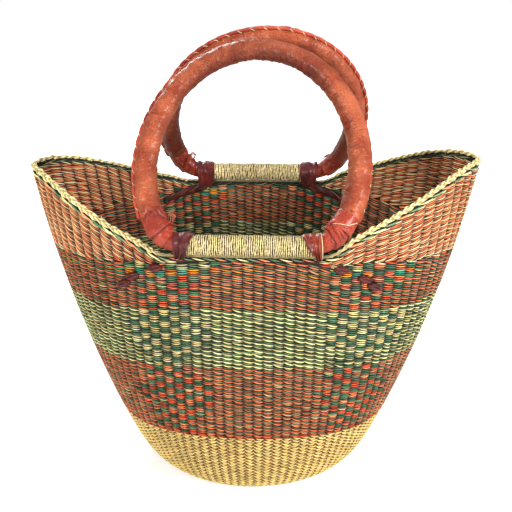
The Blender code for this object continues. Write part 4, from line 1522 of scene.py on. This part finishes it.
def cuff(tag, side, face, shape, material):
    # A saddle of leather over the bar. Each edge follows its own line of X from the outer to the inner end.
    fine = np.linspace(0.046, 0.0765, 62)
    stock = np.stack([cuffLine(x, shape["flare"]) for x in fine], axis=0)
    v = np.linspace(0, 1, leather["cuffSteps"])
    w = np.linspace(0, 1, 33)[:, None]
    begin = np.interp(v, leather["cuffStops"], shape["begin"])
    finish = np.interp(v, leather["cuffStops"], shape["finish"])
    x = begin + (finish - begin) * w
    sheet = np.stack([interpAlong(x[:, step], fine, stock[:, step]) for step in range(len(v))], axis=1)
    sheet[..., 0] = x
    out = unit(np.cross(np.gradient(sheet, axis=0), np.gradient(sheet, axis=1)))
    bar = np.array([0, hoop["barY"], hoop["barZ"] - 0.01])
    if np.sum(out[16, 30] * (sheet[16, 30] - bar)) < 0:
        out = -out
    # The leather is gathered where its edges come together, so its pleats deepen there.
    gathered = 1 - smooth((finish - begin) / (finish - begin).max(), 0.35, 0.6)
    pleat = np.cos((w * 2 - 1) * pi * shape["pleats"] + shape["lean"] * v * 6)
    depth = 0.0002 + shape["pleatDepth"] * gathered * smooth(v, 0.0, 0.1)
    crumple = noise(sheet * np.array([1.4, 1, 1]), 0.006, 83) - 0.5
    rounded = 0.0007 * (1 - (w * 2 - 1) ** 6)
    relief = pleat * depth + 0.0013 * crumple + leather["cuffThickness"] * 0.5 + rounded
    outer = sheet + out * relief[..., None]
    inner = sheet + out * (pleat * depth * 0.4)[..., None]
    sign = np.array([side, face, 1])
    rings = np.concatenate([outer, inner[::-1]]) * sign
    points = rings.reshape(-1, 3)
    n, m = rings.shape[:2]
    faces = gridFaces(n, m, closeRows=True)
    faces += [[r * m for r in range(n)], [r * m + m - 1 for r in range(n)][::-1]]
    # Painted shade in the pleat hollows where the leather is gathered, and towards the outer end of the cuff.
    shade = np.clip(0.5 - 0.5 * pleat, 0, 1) ** 2 * gathered + 0.55 * (1 - smooth(v, 0.0, 0.2))
    dress(tag + "_cuff_leather", points, outward(points, faces), material, "basket", tag + "_cuff",
          "maroon_leather", leatherShade=bothSkins(shade).ravel() * shape["shade"])
    if shape["thread"]:
        run = outer[-1, 4:-8] * sign
        made, faces, places = tubes(run[None], (out[-1, 4:-8] * sign)[None], 0.00042, 0.00042, 6)
        dress(tag + "_cuff_thread", made, outward(made, faces), creamThread, "basket")


def bean(tag, number, out, drop, tilt, side, face):
    # A thong loop that shows as a creased bean on the outside.
    long, high = leather["stitchHalf"]
    u = ringTurns(28)
    v = np.linspace(0, 1, 9)[1:]
    uu, vv = np.meshgrid(u, v, indexing="ij")
    a = long * vv * np.cos(uu)
    b = high * vv * np.sin(uu) * (1 - 0.30 * np.cos(uu) ** 8)
    dome = np.sqrt(np.maximum(1 - vv ** 2.6, 0))
    crease = np.exp(-((b - 0.0006 + 0.16 * a) / 0.0006) ** 2) * 0.34
    crease += np.exp(-((b + 0.0019 - 0.10 * a) / 0.0005) ** 2) * 0.2
    height = leather["stitchDepth"] * dome * (1 - crease) - 0.0010 * (1 - dome)
    stake = bowl["barRim"] - drop
    along = a * cos(tilt) - b * sin(tilt)
    upward = a * sin(tilt) + b * cos(tilt)
    top = wallAtX(out + along, stake + upward, -height, side, face)
    poles = [wallAtX(out, stake, depth, side, face) for depth in (-leather["stitchDepth"] * 0.7, 0.002)]
    points = np.concatenate([top.reshape(-1, 3), poles])
    n, m = top.shape[:2]
    last = n * m
    faces = gridFaces(n, m, closeRows=True)
    faces += [[last, i * m, ((i + 1) % n) * m] for i in range(n)]
    faces += [[last + 1, ((i + 1) % n) * m + m - 1, i * m + m - 1] for i in range(n)]
    # Painted shade in the two creases, round the rim of the bean and at its inner pole.
    shade = np.append(np.clip(crease * 2.2 + 0.35 * vv ** 6, 0, 1).ravel(), [0.0, 1.0])
    dress(f"{tag}_bean_{number}", points, outward(points, faces), thongLeather, "basket",
          f"{tag}_stitch_{number}", "stitch_leather", leatherShade=shade)


def strap(tag, side, face):
    # Three strands of thong twisted into a flat strap on the inside.
    share = np.linspace(0, 1, 40)
    fromX, fromDrop = leather["strapFrom"]
    toX, toDrop = leather["strapTo"]
    phase = share * 7.5 + np.arange(3)[:, None] * 2 * pi / 3
    narrow = 1.25 - 0.35 * share
    x = fromX + (toX - fromX) * share + 0.0008 * np.cos(phase)
    stake = bowl["barRim"] - (fromDrop + (toDrop - fromDrop) * share + 0.0026 * narrow * np.sin(phase))
    depth = bowl["thickness"] + 0.0022 + 0.0014 * narrow * np.cos(phase)
    path = wallAtX(x, stake, depth, side, face)
    normals = unit(wallAtX(x, stake, depth + 0.001, side, face) - path)
    wide = 0.0029 * (1 - 0.15 * share) * (0.5 + 0.5 * np.sin(np.clip(share, 0.03, 0.97) * pi) ** 0.3)
    points, faces, places = tubes(path, normals, wide, wide * 0.6, 10)
    dress(tag + "_strap_thong", points, outward(points, faces), thongLeather, "basket", tag + "_strap",
          "stitch_leather", leatherShade=0.25 + 0.4 * noise(points, 0.004, 91))


for row, face in (("front", -1), ("rear", 1)):
    for end, side in (("right", 1), ("left", -1)):
        tag = f"{row}_{end}"
        if tag == "front_right":
            cuff(tag, side, face, gatheredCuff, rustLeather)
        else:
            cuff(tag, side, face, wideCuff, maroonLeather)
        for number, (out, drop, tilt) in enumerate(leather["stitches"], start=1):
            bean(tag, number, out, drop, tilt, side, face)
        strap(tag, side, face)
print("leather on the wall")


# The camera stands where the photograph was taken from.
view = {
    "place": (0.04114916, -1.01345287, 0.61243199),
    "yaw": -2.154,
    "pitch": 20.87,
    "lens": 70.56,
    "sensor": 36,
}
yaw = radians(view["yaw"])
pitch = radians(view["pitch"])
forward = Vector((sin(yaw) * cos(pitch), cos(yaw) * cos(pitch), -sin(pitch)))
right = Vector((cos(yaw), -sin(yaw), 0))
camera = linked("camera", bpy.data.cameras.new("camera"))
camera.data.lens = view["lens"]
camera.data.sensor_width = view["sensor"]
turned = Matrix((right, right.cross(forward), -forward)).transposed().to_4x4()
camera.matrix_world = Matrix.Translation(view["place"]) @ turned
bpy.context.scene.camera = camera


# A pale floor, a white background and soft lamps.
# A lamp has a place, the height that it aims at, a size and a power.
studio = {
    "skyLight": 0.18,
    "floorHalf": 3.0,
    "lamps": {
        "left": ((-1.0, -1.7, 0.9), 0.22, 0.6, 33),
        "right": ((1.6, -1.05, 0.95), 0.22, 0.6, 46),
        "top": ((0.1, -0.2, 1.9), 0.2, 0.8, 6),
        "back": ((-0.7, 1.8, 1.1), 0.22, 0.8, 22),
    },
}
edge = studio["floorHalf"]
floorMesh = bpy.data.meshes.new("floor")
corners = [(-edge, -edge, 0), (edge, -edge, 0), (edge, edge, 0), (-edge, edge, 0)]
floorMesh.from_pydata(corners, [], [(0, 1, 2, 3)])
floor = linked("floor", floorMesh)
floorMaterial, tree, shader = newMaterial("pale_paper_floor", 0.9)
shader.inputs["Base Color"].default_value = (0.9, 0.9, 0.9, 1)
shader.inputs["Emission Color"].default_value = (1, 1, 1, 1)
seen = addNode(tree, "ShaderNodeLightPath").outputs["Is Camera Ray"]
away = addNode(tree, "ShaderNodeVectorMath", {0: objectPlace(tree)}, operation="LENGTH").outputs["Value"]
glow = calculate(tree, "MULTIPLY", seen, ramp(tree, away, 0.25, 1.2, 0.5, 1.0))
tree.links.new(glow, shader.inputs["Emission Strength"])
floorMesh.materials.append(floorMaterial)

world = bpy.data.worlds.new("studio")
bpy.context.scene.world = world
world.use_nodes = True
tree = world.node_tree
background = tree.nodes["Background"]
seen = addNode(tree, "ShaderNodeLightPath").outputs["Is Camera Ray"]
tree.links.new(ramp(tree, seen, 0.0, 1.0, studio["skyLight"], 1.0), background.inputs["Strength"])
background.inputs["Color"].default_value = (1, 1, 1, 1)

for name, (place, aim, size, power) in studio["lamps"].items():
    light = bpy.data.lights.new(name, "AREA")
    light.shape = "DISK"
    light.size = size
    light.energy = power
    lamp = linked(name, light)
    lamp.location = place
    lamp.rotation_mode = "QUATERNION"
    lamp.rotation_quaternion = (Vector((0, 0, aim)) - Vector(place)).to_track_quat("-Z", "Y")

bpy.context.scene.view_settings.view_transform = "Standard"
for helper in (twinedStitch, flatStitch, wingStitch):
    bpy.data.objects.remove(helper)
print("scene ready")
